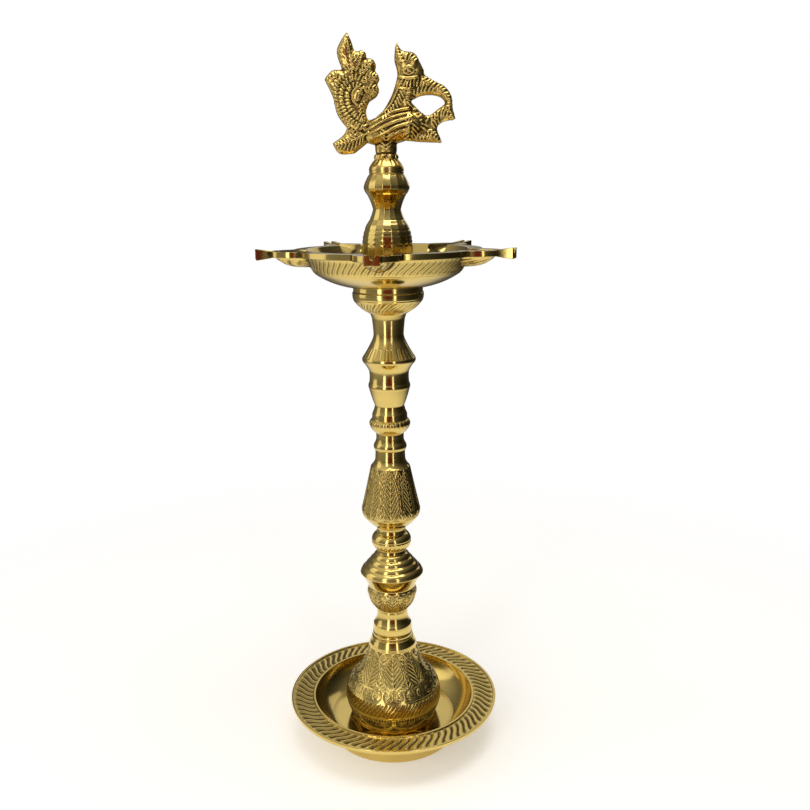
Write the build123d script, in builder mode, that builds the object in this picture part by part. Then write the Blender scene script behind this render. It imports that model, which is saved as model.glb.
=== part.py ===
"""Brass standing oil lamp (samai): a rimmed base plate, a turned column of screwed sections,
a five-spouted oil dish, and a bird finial on a short post.

Millimetres, +Z up, origin on the table at the lamp's axis. The bird looks along +X.
Each turned section is drawn from its own foot upwards as a stack of mouldings, and stands on
the section below, so a taller section lifts everything above it.
"""

import os
from typing import NamedTuple

from build123d import *

os.makedirs("parts", exist_ok=True)


class Moulding(NamedTuple):
    """One turned moulding: how far it rises, its radius at the top, and how far it bulges out."""

    rise: float
    radius: float
    bulge: float = 0.0


# ---- Screw studs, shared by every joint ----
main_stud_diameter = 8.0
main_thread_depth = 12.0
finial_stud_diameter = 6.0
finial_thread_depth = 9.0
socket_clearance = 0.05
socket_relief = 1.0
stud_hole_clearance = 0.4
stud_chamfer = 0.8

# ---- Base plate ----
rim_radius = 70.3
rim_lip_width = 1.6
rim_band_width = 13.2
rim_thickness = 2.2
rim_band_sink = 0.8
tray_depth = 15.2
tray_floor_radius = 41.5
tray_wall_bulge = -2.4
foot_step = 1.5
foot_wall = 3.0
plate_wall = 2.6

# ---- Base fastening ----
washer_radius = 10.0
washer_thickness = 1.5
nut_across_flats = 13.0
nut_height = 6.0
stud_overhang = 1.0
table_clearance = 1.0
base_thread_depth = 9.0

# ---- Bell pedestal ----
bell_wall = 3.0
bell_foot_radius = 27.5
bell_boss_radius = 9.0
crown_web = 1.0
bell_skirt = [
    Moulding(17.0, 32.5, 1.6),
    Moulding(12.0, 27.5, 1.1),
    Moulding(19.0, 17.0, -1.4),
]
bell_crown = [
    Moulding(5.6, 15.8, -0.1),
    Moulding(4.4, 13.9, -0.1),
    Moulding(0.6, 13.2),
    Moulding(2.4, 13.2, 0.25),
]

# ---- Lower stem ----
lower_stem_foot_radius = 12.8
ridge_count = 4
ridge_rise = 3.3
ridge_step = 2.75
disc_radius = 20.6
lower_stem_mouldings = [
    Moulding(6.6, 12.8, 0.3),
    Moulding(8.6, 10.3, -0.9),
    Moulding(2.0, 10.0),
    Moulding(10.2, 16.2, 1.1),
    Moulding(5.6, 15.8, 0.6),
    Moulding(1.0, 15.5),
    Moulding(9.0, disc_radius, -0.4),
    Moulding(1.5, disc_radius, 0.4),
    *[Moulding(ridge_rise, disc_radius - ridge_step * (i + 1), 0.45) for i in range(ridge_count)],
    Moulding(2.2, 9.2),
    Moulding(11.8, 9.7, 3.7),
    Moulding(2.3, 9.4),
]

# ---- Baluster ----
baluster_foot_radius = 9.4
baluster_mouldings = [
    Moulding(1.4, 9.4),
    Moulding(9.1, 18.6, 0.7),
    Moulding(4.3, 19.2, 0.3),
    Moulding(28.5, 12.8, -0.1),
    Moulding(4.2, 9.9, -0.3),
    Moulding(7.0, 9.6, -0.1),
]

# ---- Upper stem ----
upper_stem_foot_radius = 9.9
cup_radius = 22.3
upper_stem_mouldings = [
    Moulding(4.2, 10.1, 0.7),
    Moulding(3.0, 8.9, -0.2),
    Moulding(4.0, 8.9),
    Moulding(5.0, 12.9, 0.5),
    Moulding(4.3, 11.4, 0.9),
    Moulding(3.5, 11.2),
    Moulding(5.4, 9.4, -0.2),
    Moulding(11.2, 13.0, 0.2),
    Moulding(3.6, 12.8, 0.5),
    Moulding(7.6, 12.7, -0.3),
    Moulding(6.0, 16.6, -0.3),
    Moulding(2.6, 16.8, 0.3),
    Moulding(10.2, 10.9, -0.2),
    Moulding(4.4, 9.5, -0.2),
    Moulding(10.2, 10.4, -0.1),
    Moulding(3.0, 11.4),
    Moulding(8.8, cup_radius - 0.4, 1.0),
    Moulding(5.0, cup_radius, 0.15),
]

# ---- Oil dish ----
dish_collar_radius = 21.7
dish_collar_rise = 3.3
dish_hub_thickness = 6.4
dish_bowl_foot_radius = 25.0
dish_floor_radius = 27.0
dish_wall = 2.3
dish_bowl = [
    Moulding(8.6, 45.4, 1.2),
    Moulding(11.6, 52.0, 0.2),
]
dish_rim_width = 6.0
dish_rim_thickness = 2.6
spout_count = 5
spout_first_angle = 48.0
spout_length = 22.5
spout_nose_length = 8.6
spout_nose_half_width = 4.4
spout_nose_rise = 1.4
spout_nose_drop = 2.2
spout_lobe_half_width = 14.0
spout_lobe_bulge = 2.6
spout_belly_radius = 10.0
spout_belly_gap = 1.9
spout_wall = 2.2
channel_radius = 2.4

# ---- Finial post ----
post_foot_radius = 15.6
post_mouldings = [
    Moulding(22.2, 15.4),
    Moulding(12.0, 12.6, 0.7),
    Moulding(9.0, 8.5, -0.5),
    Moulding(8.6, 11.8, -0.3),
    Moulding(3.4, 13.8, 0.2),
    Moulding(2.6, 13.6, 0.2),
    Moulding(6.0, 10.6, 0.2),
]
seal_radius = 11.5
seal_thickness = 1.0

# ---- Bird finial ----
seat_foot_radius = 10.2
seat_mouldings = [
    Moulding(4.4, 10.2, 0.4),
    Moulding(4.2, 7.0, 0.2),
    Moulding(2.6, 6.9),
]
leg_rise = 11.0
leg_half_width = 6.0
leg_half_depth = 4.2
body_half_depth = 9.2
body_half_length = 20.0
body_tilt = 14.0
body_centre = (5.0, 15.5)
neck_half_depth = 5.2
tail_half_depth = 4.4
vine_half_depth = 3.4

# Outlines of the bird's flat members, as (x, height above the seat). Each row of points is one
# smooth edge from corner to corner.
tail_edges = [
    [(-8, 14), (-10, 24), (-3.5, 38), (-3.5, 45), (-12, 59), (-22, 69)],
    [(-22, 69), (-28, 59), (-25, 48)],
    [(-25, 48), (-31, 48), (-35.7, 43)],
    [(-35.7, 43), (-31, 33), (-28, 22), (-18, 10)],
    [(-18, 10), (-8, 14)],
]
leaf_edges = [
    [(-5, 12), (-13, 5.5), (-19, 1)],
    [(-19, 1), (-28, 1), (-32, 7)],
    [(-32, 7), (-25, 12), (-22, 19)],
    [(-22, 19), (-12, 20)],
    [(-12, 20), (-5, 12)],
]
neck_edges = [
    [(-9, 23), (0, 31), (7.4, 46), (5.5, 54), (6.8, 63.4)],
    [(6.8, 63.4), (10, 58.5), (17, 57), (21, 51)],
    [(21, 51), (23, 47)],
    [(23, 47), (18, 39), (15.3, 30)],
    [(15.3, 30), (17, 22)],
    [(17, 22), (10, 12)],
    [(10, 12), (-9, 23)],
]
vine_edges = [
    [(19, 51), (32, 43.6), (38.5, 37), (39.7, 27), (41.6, 20)],
    [(41.6, 20), (34, 18.5)],
    [(34, 18.5), (30.5, 15), (33.6, 6.6)],
    [(33.6, 6.6), (14, 7)],
    [(14, 7), (6, 20)],
    [(6, 20), (19, 51)],
]
vine_hole_edges = [
    [(15.3, 30), (24.8, 34.3), (34, 29)],
    [(34, 29), (24.8, 23.4), (15.3, 30)],
]


def total_rise(mouldings):
    """Return the height of a stack of mouldings."""
    return sum(moulding.rise for moulding in mouldings)


def draw_mouldings(radius, height, mouldings, inset=0.0):
    """Draw a stack of mouldings upwards in the current lines, and return its top point."""
    start = Vector(radius - inset, height)
    for moulding in mouldings:
        end = Vector(moulding.radius - inset, start.Y + moulding.rise)
        outward = Vector(end.Y - start.Y, start.X - end.X).normalized()
        if moulding.bulge:
            ThreePointArc(start, (start + end) / 2 + outward * moulding.bulge, end)
        else:
            Line(start, end)
        start = end
    return start


def draw_turned_outline(radius, height, mouldings, inset=0.0):
    """Draw the closed half outline of a solid turned section, from the axis out and back."""
    Line((0, height), (radius - inset, height))
    top = draw_mouldings(radius, height, mouldings, inset)
    Polyline(top, (0, top.Y), (0, height))


def cut_round(radius, bottom, depth):
    """Cut an upright round hole in the current part, from the height of its lower end."""
    with Locations((0, 0, bottom)):
        Cylinder(
            radius,
            depth,
            align=(Align.CENTER, Align.CENTER, Align.MIN),
            mode=Mode.SUBTRACT,
        )


def draw_edges(edges):
    """Draw an outline's edges in the current lines: two points are straight, more are a curve."""
    for points in edges:
        if len(points) == 2:
            Line(points)
        else:
            Spline(points)


def make_stud(name, diameter, bottom, length):
    """Make a screw stud at the major diameter of its thread, with chamfered ends."""
    with BuildPart() as stud:
        with BuildSketch(Plane.XY.offset(bottom)):
            Circle(diameter / 2)
        extrude(amount=length)
        chamfer(stud.edges().filter_by(GeomType.CIRCLE), stud_chamfer)
    stud.part.label = name
    export_step(stud.part, f"parts/{name}.step")


# ---- Heights and radii, worked out from the base up ----
main_socket_radius = main_stud_diameter / 2 + socket_clearance
finial_socket_radius = finial_stud_diameter / 2 + socket_clearance
stud_hole_radius = main_stud_diameter / 2 + stud_hole_clearance
plate_underside = table_clearance + stud_overhang + nut_height + washer_thickness
plate_floor = plate_underside + plate_wall
foot_radius = tray_floor_radius + foot_step
rim_top = plate_floor + tray_depth
bell_crown_base = plate_floor + total_rise(bell_skirt)
lower_stem_base = bell_crown_base + total_rise(bell_crown)
baluster_base = lower_stem_base + total_rise(lower_stem_mouldings)
upper_stem_base = baluster_base + total_rise(baluster_mouldings)
dish_base = upper_stem_base + total_rise(upper_stem_mouldings)
bowl_top_radius = dish_bowl[-1].radius
dish_rim_radius = bowl_top_radius + dish_rim_width
spout_reach = dish_rim_radius + spout_length
dish_floor = dish_base + dish_hub_thickness
dish_rim_underside = dish_base + dish_collar_rise + total_rise(dish_bowl)
dish_rim_top = dish_rim_underside + dish_rim_thickness
finial_base = dish_floor + total_rise(post_mouldings)
seat_top = finial_base + total_rise(seat_mouldings)

# ---- Base plate: a dished tray with a banded rim, on a foot ring ----
band_outer = rim_radius - rim_lip_width
band_inner = band_outer - rim_band_width
tray_mouth_radius = band_inner - rim_lip_width
band_height = rim_top - rim_band_sink
tray_mouth = Vector(tray_mouth_radius, rim_top)
tray_corner = Vector(tray_floor_radius, plate_floor)
tray_slope = (tray_mouth - tray_corner).normalized()
tray_normal = Vector(tray_slope.Y, -tray_slope.X)
tray_middle = (tray_mouth + tray_corner) / 2 - tray_normal * tray_wall_bulge
underside_corner = Vector(foot_radius, plate_underside)
underside_mouth = Vector(tray_mouth_radius + plate_wall, rim_top - rim_thickness - rim_band_sink)
underside_middle = (underside_corner + underside_mouth) / 2 - tray_normal * tray_wall_bulge

with BuildPart() as base_plate:
    with BuildSketch(Plane.XZ):
        with BuildLine():
            Line((stud_hole_radius, plate_underside), (foot_radius - foot_wall, plate_underside))
            Line((foot_radius - foot_wall, plate_underside), (foot_radius - foot_wall, 0))
            Line((foot_radius - foot_wall, 0), (foot_radius, 0))
            Line((foot_radius, 0), underside_corner)
            ThreePointArc(underside_corner, underside_middle, underside_mouth)
            Line(underside_mouth, (rim_radius - rim_lip_width, rim_top - rim_thickness))
            Line((rim_radius - rim_lip_width, rim_top - rim_thickness), (rim_radius, rim_top - rim_thickness))
            Line((rim_radius, rim_top - rim_thickness), (rim_radius, rim_top))
            Line((rim_radius, rim_top), (band_outer, rim_top))
            Line((band_outer, rim_top), (band_outer, band_height))
            Line((band_outer, band_height), (band_inner, band_height))
            Line((band_inner, band_height), (band_inner, rim_top))
            Line((band_inner, rim_top), tray_mouth)
            ThreePointArc(tray_mouth, tray_middle, tray_corner)
            Line(tray_corner, (stud_hole_radius, plate_floor))
            Line((stud_hole_radius, plate_floor), (stud_hole_radius, plate_underside))
        make_face()
    revolve(axis=Axis.Z)
base_plate.part.label = "base_plate"
export_step(base_plate.part, "parts/base_plate.step")

# ---- Washer and nut under the plate ----
with BuildPart() as base_washer:
    with BuildSketch(Plane.XY.offset(plate_underside - washer_thickness)):
        Circle(washer_radius)
        Circle(stud_hole_radius, mode=Mode.SUBTRACT)
    extrude(amount=washer_thickness)
base_washer.part.label = "base_washer"
export_step(base_washer.part, "parts/base_washer.step")

nut_base = plate_underside - washer_thickness - nut_height
with BuildPart() as base_nut:
    with BuildSketch(Plane.XY.offset(nut_base)):
        RegularPolygon(nut_across_flats / 2, 6, major_radius=False)
        Circle(main_stud_diameter / 2, mode=Mode.SUBTRACT)
    extrude(amount=nut_height)
base_nut.part.label = "base_nut"
export_step(base_nut.part, "parts/base_nut.step")

# ---- Bell pedestal: a hollow skirt under a thick crown, with a boss for the base stud ----
base_stud_top = lower_stem_base - main_thread_depth - crown_web
boss_bottom = base_stud_top - base_thread_depth
with BuildPart() as bell_pedestal:
    with BuildSketch(Plane.XZ):
        with BuildLine():
            draw_turned_outline(bell_foot_radius, plate_floor, bell_skirt + bell_crown)
        make_face()
    revolve(axis=Axis.Z)
    with BuildSketch(Plane.XZ):
        with BuildLine():
            draw_turned_outline(bell_foot_radius, plate_floor, bell_skirt, inset=bell_wall)
        make_face()
    revolve(axis=Axis.Z, mode=Mode.SUBTRACT)
    with BuildSketch(Plane.XY.offset(boss_bottom)):
        Circle(bell_boss_radius)
    extrude(amount=bell_crown_base - boss_bottom)
    cut_round(main_stud_diameter / 2, boss_bottom, base_thread_depth)
    cut_round(main_socket_radius, lower_stem_base - main_thread_depth, main_thread_depth)
bell_pedestal.part.label = "bell_pedestal"
export_step(bell_pedestal.part, "parts/bell_pedestal.step")

base_stud_bottom = nut_base - stud_overhang
make_stud(
    "base_stud",
    main_stud_diameter,
    base_stud_bottom,
    base_stud_top - base_stud_bottom,
)

# ---- Lower stem: collar, petal bowl, ridged disc and bead ----
with BuildPart() as lower_stem:
    with BuildSketch(Plane.XZ):
        with BuildLine():
            draw_turned_outline(lower_stem_foot_radius, lower_stem_base, lower_stem_mouldings)
        make_face()
    revolve(axis=Axis.Z)
    cut_round(main_socket_radius, lower_stem_base, main_thread_depth + socket_relief)
    cut_round(main_socket_radius, baluster_base - main_thread_depth, main_thread_depth)
lower_stem.part.label = "lower_stem"
export_step(lower_stem.part, "parts/lower_stem.step")

# ---- Baluster ----
with BuildPart() as baluster:
    with BuildSketch(Plane.XZ):
        with BuildLine():
            draw_turned_outline(baluster_foot_radius, baluster_base, baluster_mouldings)
        make_face()
    revolve(axis=Axis.Z)
    cut_round(main_socket_radius, baluster_base, main_thread_depth + socket_relief)
    cut_round(main_socket_radius, upper_stem_base - main_thread_depth, main_thread_depth)
baluster.part.label = "baluster"
export_step(baluster.part, "parts/baluster.step")

# ---- Upper stem: rings and beads under the cup that carries the dish ----
with BuildPart() as upper_stem:
    with BuildSketch(Plane.XZ):
        with BuildLine():
            draw_turned_outline(upper_stem_foot_radius, upper_stem_base, upper_stem_mouldings)
        make_face()
    revolve(axis=Axis.Z)
    cut_round(main_socket_radius, upper_stem_base, main_thread_depth + socket_relief)
    cut_round(main_socket_radius, dish_base - main_thread_depth, main_thread_depth)
upper_stem.part.label = "upper_stem"
export_step(upper_stem.part, "parts/upper_stem.step")

# ---- Studs between the column's sections ----
for stud_name, joint_height in (
    ("pedestal_stud", lower_stem_base),
    ("lower_stud", baluster_base),
    ("baluster_stud", upper_stem_base),
):
    make_stud(
        stud_name,
        main_stud_diameter,
        joint_height - main_thread_depth,
        2 * main_thread_depth,
    )

# ---- One spout, along +X: its lobe and nose, the belly below and the wick channel in it ----
nose_root = spout_reach - spout_nose_length
lobe_root = Vector((dish_rim_radius**2 - spout_lobe_half_width**2) ** 0.5, spout_lobe_half_width)
nose_corner = Vector(nose_root, spout_nose_half_width)
lobe_slope = (nose_corner - lobe_root).normalized()
lobe_middle = (lobe_root + nose_corner) / 2 + Vector(-lobe_slope.Y, lobe_slope.X) * spout_lobe_bulge
belly_end = nose_root - spout_belly_gap
belly_slope = Vector(1, 1).normalized()
belly_middle = Vector(
    bowl_top_radius + (belly_end - bowl_top_radius) * belly_slope.X,
    spout_belly_radius * belly_slope.Y,
)
nose_height = dish_rim_thickness + spout_nose_rise + spout_nose_drop
nose_middle = dish_rim_top + (spout_nose_rise - spout_nose_drop - dish_rim_thickness) / 2
spout_axis = Axis((0, 0, dish_rim_top), (1, 0, 0))

with BuildPart() as spout_body:
    with BuildSketch(Plane.XY.offset(dish_rim_underside)):
        with BuildLine():
            Polyline((nose_root, 0), (0, 0), (0, spout_lobe_half_width), lobe_root)
            ThreePointArc(lobe_root, lobe_middle, nose_corner)
            Line(nose_corner, (nose_root, 0))
        make_face()
        mirror(about=Plane.XZ)
    extrude(amount=dish_rim_thickness)
    with BuildSketch(Plane.XY.offset(dish_rim_top)):
        with BuildLine():
            Polyline(
                (belly_end, 0),
                (0, 0),
                (0, spout_belly_radius),
                (bowl_top_radius, spout_belly_radius),
            )
            ThreePointArc((bowl_top_radius, spout_belly_radius), belly_middle, (belly_end, 0))
        make_face()
    revolve(axis=spout_axis, revolution_arc=-180)
    with BuildSketch(Plane.YZ.offset(nose_root)):
        with Locations((0, dish_rim_top - dish_rim_thickness / 2)):
            Rectangle(2 * spout_nose_half_width, dish_rim_thickness)
    with BuildSketch(Plane.YZ.offset(spout_reach)):
        with Locations((0, nose_middle)):
            Rectangle(2 * spout_nose_half_width, nose_height)
    loft()

with BuildPart() as spout_channel:
    with BuildSketch(Plane.XY.offset(dish_rim_top)):
        with BuildLine():
            Polyline(
                (spout_reach, 0),
                (0, 0),
                (0, spout_belly_radius - spout_wall),
                (bowl_top_radius, spout_belly_radius - spout_wall),
            )
            Spline(
                (bowl_top_radius, spout_belly_radius - spout_wall),
                (nose_root, channel_radius),
                tangents=((1, 0), (1, 0)),
            )
            Polyline((nose_root, channel_radius), (spout_reach, channel_radius), (spout_reach, 0))
        make_face()
    revolve(axis=spout_axis)

# ---- Oil dish: a shallow bowl on a collar, with a flat rim and five spouts ----
with BuildPart() as oil_dish:
    with BuildSketch(Plane.XZ):
        with BuildLine():
            Polyline(
                (0, dish_base),
                (dish_collar_radius, dish_base),
                (dish_collar_radius, dish_base + dish_collar_rise),
                (dish_bowl_foot_radius, dish_base + dish_collar_rise),
            )
            bowl_edge = draw_mouldings(
                dish_bowl_foot_radius, dish_base + dish_collar_rise, dish_bowl
            )
            Polyline(
                bowl_edge,
                (dish_rim_radius, dish_rim_underside),
                (dish_rim_radius, dish_rim_top),
                (0, dish_rim_top),
                (0, dish_base),
            )
        make_face()
    revolve(axis=Axis.Z)
    with PolarLocations(0, spout_count, start_angle=spout_first_angle):
        add(spout_body.part)
    with BuildSketch(Plane.XZ):
        with BuildLine():
            wall_foot = Vector(
                dish_bowl[0].radius - dish_wall,
                dish_base + dish_collar_rise + dish_bowl[0].rise + dish_wall / 2,
            )
            Line((0, dish_floor), (dish_floor_radius, dish_floor))
            ThreePointArc(
                (dish_floor_radius, dish_floor),
                (
                    (dish_floor_radius + wall_foot.X) / 2 + dish_bowl[0].bulge / 2,
                    (dish_floor + wall_foot.Y) / 2 - dish_bowl[0].bulge / 2,
                ),
                wall_foot,
            )
            Polyline(
                wall_foot,
                (bowl_top_radius - dish_wall, dish_rim_top),
                (0, dish_rim_top),
                (0, dish_floor),
            )
        make_face()
    revolve(axis=Axis.Z, mode=Mode.SUBTRACT)
    with PolarLocations(0, spout_count, start_angle=spout_first_angle):
        add(spout_channel.part, mode=Mode.SUBTRACT)
    cut_round(stud_hole_radius, dish_base, dish_hub_thickness)
oil_dish.part.label = "oil_dish"
export_step(oil_dish.part, "parts/oil_dish.step")

# ---- Seal ring between the dish floor and the post ----
with BuildPart() as dish_seal:
    with BuildSketch(Plane.XY.offset(dish_floor)):
        Circle(seal_radius)
        Circle(stud_hole_radius, mode=Mode.SUBTRACT)
    extrude(amount=seal_thickness)
dish_seal.part.label = "dish_seal"
export_step(dish_seal.part, "parts/dish_seal.step")

# ---- Finial post, recessed over the seal ----
with BuildPart() as finial_post:
    with BuildSketch(Plane.XZ):
        with BuildLine():
            draw_turned_outline(post_foot_radius, dish_floor, post_mouldings)
        make_face()
    revolve(axis=Axis.Z)
    cut_round(seal_radius + stud_hole_clearance, dish_floor, seal_thickness)
    cut_round(main_socket_radius, dish_floor, seal_thickness + main_thread_depth)
    cut_round(finial_socket_radius, finial_base - finial_thread_depth, finial_thread_depth)
finial_post.part.label = "finial_post"
export_step(finial_post.part, "parts/finial_post.step")

make_stud(
    "post_stud",
    main_stud_diameter,
    dish_base - main_thread_depth,
    main_thread_depth + dish_hub_thickness + seal_thickness + main_thread_depth - socket_relief,
)
make_stud(
    "finial_stud",
    finial_stud_diameter,
    finial_base - finial_thread_depth,
    2 * finial_thread_depth - socket_relief,
)

# ---- Bird finial: one casting of seat, legs, body, tail, lower leaf, neck and beak with vine ----
bird_plane = Plane(origin=(0, 0, seat_top), x_dir=(1, 0, 0), z_dir=(0, -1, 0))

with BuildPart() as bird_body:
    with BuildSketch(Plane.XY):
        with BuildLine():
            ThreePointArc(
                (-body_half_length, 0),
                (0, body_half_depth),
                (body_half_length, 0),
            )
            Line((body_half_length, 0), (-body_half_length, 0))
        make_face()
    revolve(axis=Axis.X)

with BuildPart() as bird_finial:
    with BuildSketch(Plane.XZ):
        with BuildLine():
            draw_turned_outline(seat_foot_radius, finial_base, seat_mouldings)
        make_face()
    revolve(axis=Axis.Z)
    with BuildSketch(Plane.XY.offset(seat_top)):
        Rectangle(2 * leg_half_width, 2 * leg_half_depth)
    extrude(amount=leg_rise)
    with Locations(bird_plane):
        with Locations(Location((body_centre[0], body_centre[1], 0), (0, 0, body_tilt))):
            add(bird_body.part)
    for half_depth, edges in (
        (tail_half_depth, tail_edges),
        (vine_half_depth, leaf_edges),
        (neck_half_depth, neck_edges),
        (vine_half_depth, vine_edges),
    ):
        with BuildSketch(bird_plane):
            with BuildLine():
                draw_edges(edges)
            make_face()
        extrude(amount=half_depth, both=True)
    with BuildSketch(bird_plane):
        with BuildLine():
            draw_edges(vine_hole_edges)
        make_face()
    extrude(amount=neck_half_depth, both=True, mode=Mode.SUBTRACT)
    cut_round(finial_socket_radius, finial_base, finial_thread_depth)
bird_finial.part.label = "bird_finial"
export_step(bird_finial.part, "parts/bird_finial.step")
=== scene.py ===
"""Looks of the brass standing oil lamp (samai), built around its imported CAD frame.

Each turned section is drawn from its mouldings and its engraving is cut into the metal. The oil
dish, the rope-cut base rim and the cast bird are modelled surfaces too. Sizes in the classes are
millimetres; meshes are metres, +Z up, origin on the table at the lamp's axis, bird facing +X.
"""

import logging
import math
from collections.abc import Callable, Iterator, Sequence
from contextlib import contextmanager
from dataclasses import dataclass
from enum import Enum

import bmesh
import bpy
import numpy as np
from mathutils import Matrix, Vector
from mathutils.bvhtree import BVHTree


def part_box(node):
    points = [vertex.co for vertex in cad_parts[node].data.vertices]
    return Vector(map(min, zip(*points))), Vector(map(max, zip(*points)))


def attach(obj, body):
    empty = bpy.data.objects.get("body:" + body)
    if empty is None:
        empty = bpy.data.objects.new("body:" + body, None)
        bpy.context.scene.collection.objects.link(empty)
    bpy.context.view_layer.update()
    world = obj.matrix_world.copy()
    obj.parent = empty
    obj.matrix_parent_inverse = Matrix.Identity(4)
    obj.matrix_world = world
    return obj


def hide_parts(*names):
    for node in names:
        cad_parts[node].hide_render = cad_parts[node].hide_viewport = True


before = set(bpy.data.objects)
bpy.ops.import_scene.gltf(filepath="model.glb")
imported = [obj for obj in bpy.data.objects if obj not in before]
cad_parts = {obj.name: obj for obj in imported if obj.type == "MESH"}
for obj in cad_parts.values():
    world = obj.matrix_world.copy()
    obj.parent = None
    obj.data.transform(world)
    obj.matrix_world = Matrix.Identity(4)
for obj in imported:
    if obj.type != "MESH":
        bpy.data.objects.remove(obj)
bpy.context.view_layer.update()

MM = 0.001
TINY = 1e-6
MERGE = 2e-6  # points nearer than this, in metres, become one
SLACK = 0.05  # how near, in mm, a point counts as on an edge
BORE_LIMIT = 6.0  # bores are narrower than this radius, in mm, and stay plain
STAIN_DEPTH = 0.6  # cuts this deep, in mm, take their whole stain
LEGS_FOOT = 11.2  # height of the seat under the bird's legs, in mm
HOLLOW = "hollow"
log = logging.getLogger("samai")

Point = tuple[float, float]
Triple = tuple[float, float, float]
Array = np.ndarray
Shape = bmesh.types.BMesh
Piece = bpy.types.Object
Mesh = bpy.types.Mesh
Tree = bpy.types.NodeTree
Node = bpy.types.Node
Socket = bpy.types.NodeSocket
Inputs = dict[str | int, object]


class Slot(Enum):
    """The record's material slots."""

    POLISHED = "polished_brass"
    CAST = "cast_brass"
    STUD = "stud_brass"


class Across(Enum):
    """What a band of engraving is measured along."""

    HEIGHT = "height"
    RADIUS = "radius"


# ---------------------------------------------------------------- engraving


def cut_line(distance: Array, width: float) -> Array:
    """Return the depth, 0 to 1, of a smooth cut line at a distance in mm from its middle."""
    return np.exp(-((distance / width) ** 2))


def ease(value: Array) -> Array:
    """Return a smooth step from 0 to 1."""
    held = np.clip(value, 0.0, 1.0)
    return held * held * (3.0 - 2.0 * held)


@dataclass(frozen=True)
class Engraving:
    """A pattern cut round a turned surface.

    Its cut method takes turn (0 to 1 round the axis), up (0 to 1 across the band), the radius
    and the band's height in mm, and returns how deep the metal is cut, in mm.
    """

    count: int
    depth: float
    phase: float = 0.0

    def cell(self, turn: Array) -> Array:
        """Return the place across one repeat, from -0.5 to 0.5."""
        return (turn * self.count + self.phase) % 1.0 - 0.5

    def pitch(self, radius: Array) -> Array:
        """Return the width of one repeat in mm."""
        return 2.0 * np.pi * radius / self.count

    def cut(self, turn: Array, up: Array, radius: Array, height: float) -> Array:
        """Return the depth of the cut in mm."""
        raise NotImplementedError


@dataclass(frozen=True)
class Facets(Engraving):
    """Flat facets filed round a section, each as wide as one repeat."""

    def cut(self, turn: Array, up: Array, radius: Array, height: float) -> Array:
        """Return how far each flat lies inside the round surface."""
        half = math.pi / self.count
        angle = self.cell(turn) * 2.0 * half
        return radius * (1.0 - math.cos(half) / np.cos(angle)) * self.depth


@dataclass(frozen=True)
class Flutes(Engraving):
    """Short upright cuts, side by side."""

    line: float = 0.4

    def cut(self, turn: Array, up: Array, radius: Array, height: float) -> Array:
        """Return the depth of the cuts."""
        return self.depth * cut_line(self.cell(turn) * self.pitch(radius), self.line)


@dataclass(frozen=True)
class RopeLobes(Engraving):
    """Slanted S-shaped lobes, rounded like the strands of a rope, with or without a vein."""

    slant: float = 1.0
    curl: float = 0.5
    vein: float = 0.0
    line: float = 0.36

    def cut(self, turn: Array, up: Array, radius: Array, height: float) -> Array:
        """Return the depth of the cushions' edges, their ends and their veins."""
        shift = self.slant * (up - self.curl * np.sin(2.0 * np.pi * up) / (2.0 * np.pi))
        across = (turn * self.count + self.phase - shift) % 1.0 - 0.5
        ends = ease(np.minimum(up, 1.0 - up) * 5.0)
        fall = (2.0 * across) ** 2 * (0.35 + 0.6 * ends)
        cushion = 1.0 - np.sqrt(np.clip(1.0 - fall, 0.0, 1.0))
        vein = self.vein * cut_line(across * self.pitch(radius), self.line)
        return self.depth * (cushion + vein * ends)


@dataclass(frozen=True)
class Rings(Engraving):
    """Grooves round the axis, at the given ways up the band."""

    at: tuple[float, ...] = (0.5,)
    line: float = 0.3

    def cut(self, turn: Array, up: Array, radius: Array, height: float) -> Array:
        """Return the depth of the grooves."""
        total = np.zeros_like(up)
        for way in self.at:
            total = np.maximum(total, cut_line((up - way) * height, self.line))
        return self.depth * total


@dataclass(frozen=True)
class Lancets(Engraving):
    """Long pointed leaves with a double outline, a midrib and side veins, and leaves behind."""

    line: float = 0.32
    vein_pitch: float = 1.9
    vein_rise: float = 1.0
    belly: float = 0.75
    half: float = 0.47
    inner_gap: float = 1.15
    ground: float = 0.35

    def leaf(self, across: Array, up: Array, pitch: Array, height: float) -> tuple[Array, Array]:
        """Return one leaf's cut, 0 to 1, and how far inside its outline each place is, in mm."""
        half = self.half * np.sin(np.pi * np.clip(up, 0.0, 1.0) ** self.belly) ** 0.8
        inside = (half - np.abs(across)) * pitch
        veins = (up * height - self.vein_rise * np.abs(across) * pitch) / self.vein_pitch
        side = (0.5 + 0.5 * np.cos(2.0 * np.pi * veins)) ** 2 * (inside > self.line * 3.2)
        inner = 0.8 * cut_line(inside - self.inner_gap, self.line * 0.8)
        midrib = cut_line(across * pitch, self.line) * (inside > 0.4)
        return np.maximum.reduce([cut_line(inside, self.line), inner, 0.9 * side, midrib]), inside

    def cut(self, turn: Array, up: Array, radius: Array, height: float) -> Array:
        """Return the depth of the leaves, and of those behind where they show."""
        across, pitch = self.cell(turn), self.pitch(radius)
        front, inside = self.leaf(across, up, pitch, height)
        back, _ = self.leaf((across + 1.0) % 1.0 - 0.5, up, pitch, height)
        shown = ease(-inside / 0.8)
        return self.depth * np.maximum(front, (self.ground + (1.0 - self.ground) * back) * shown)


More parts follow.
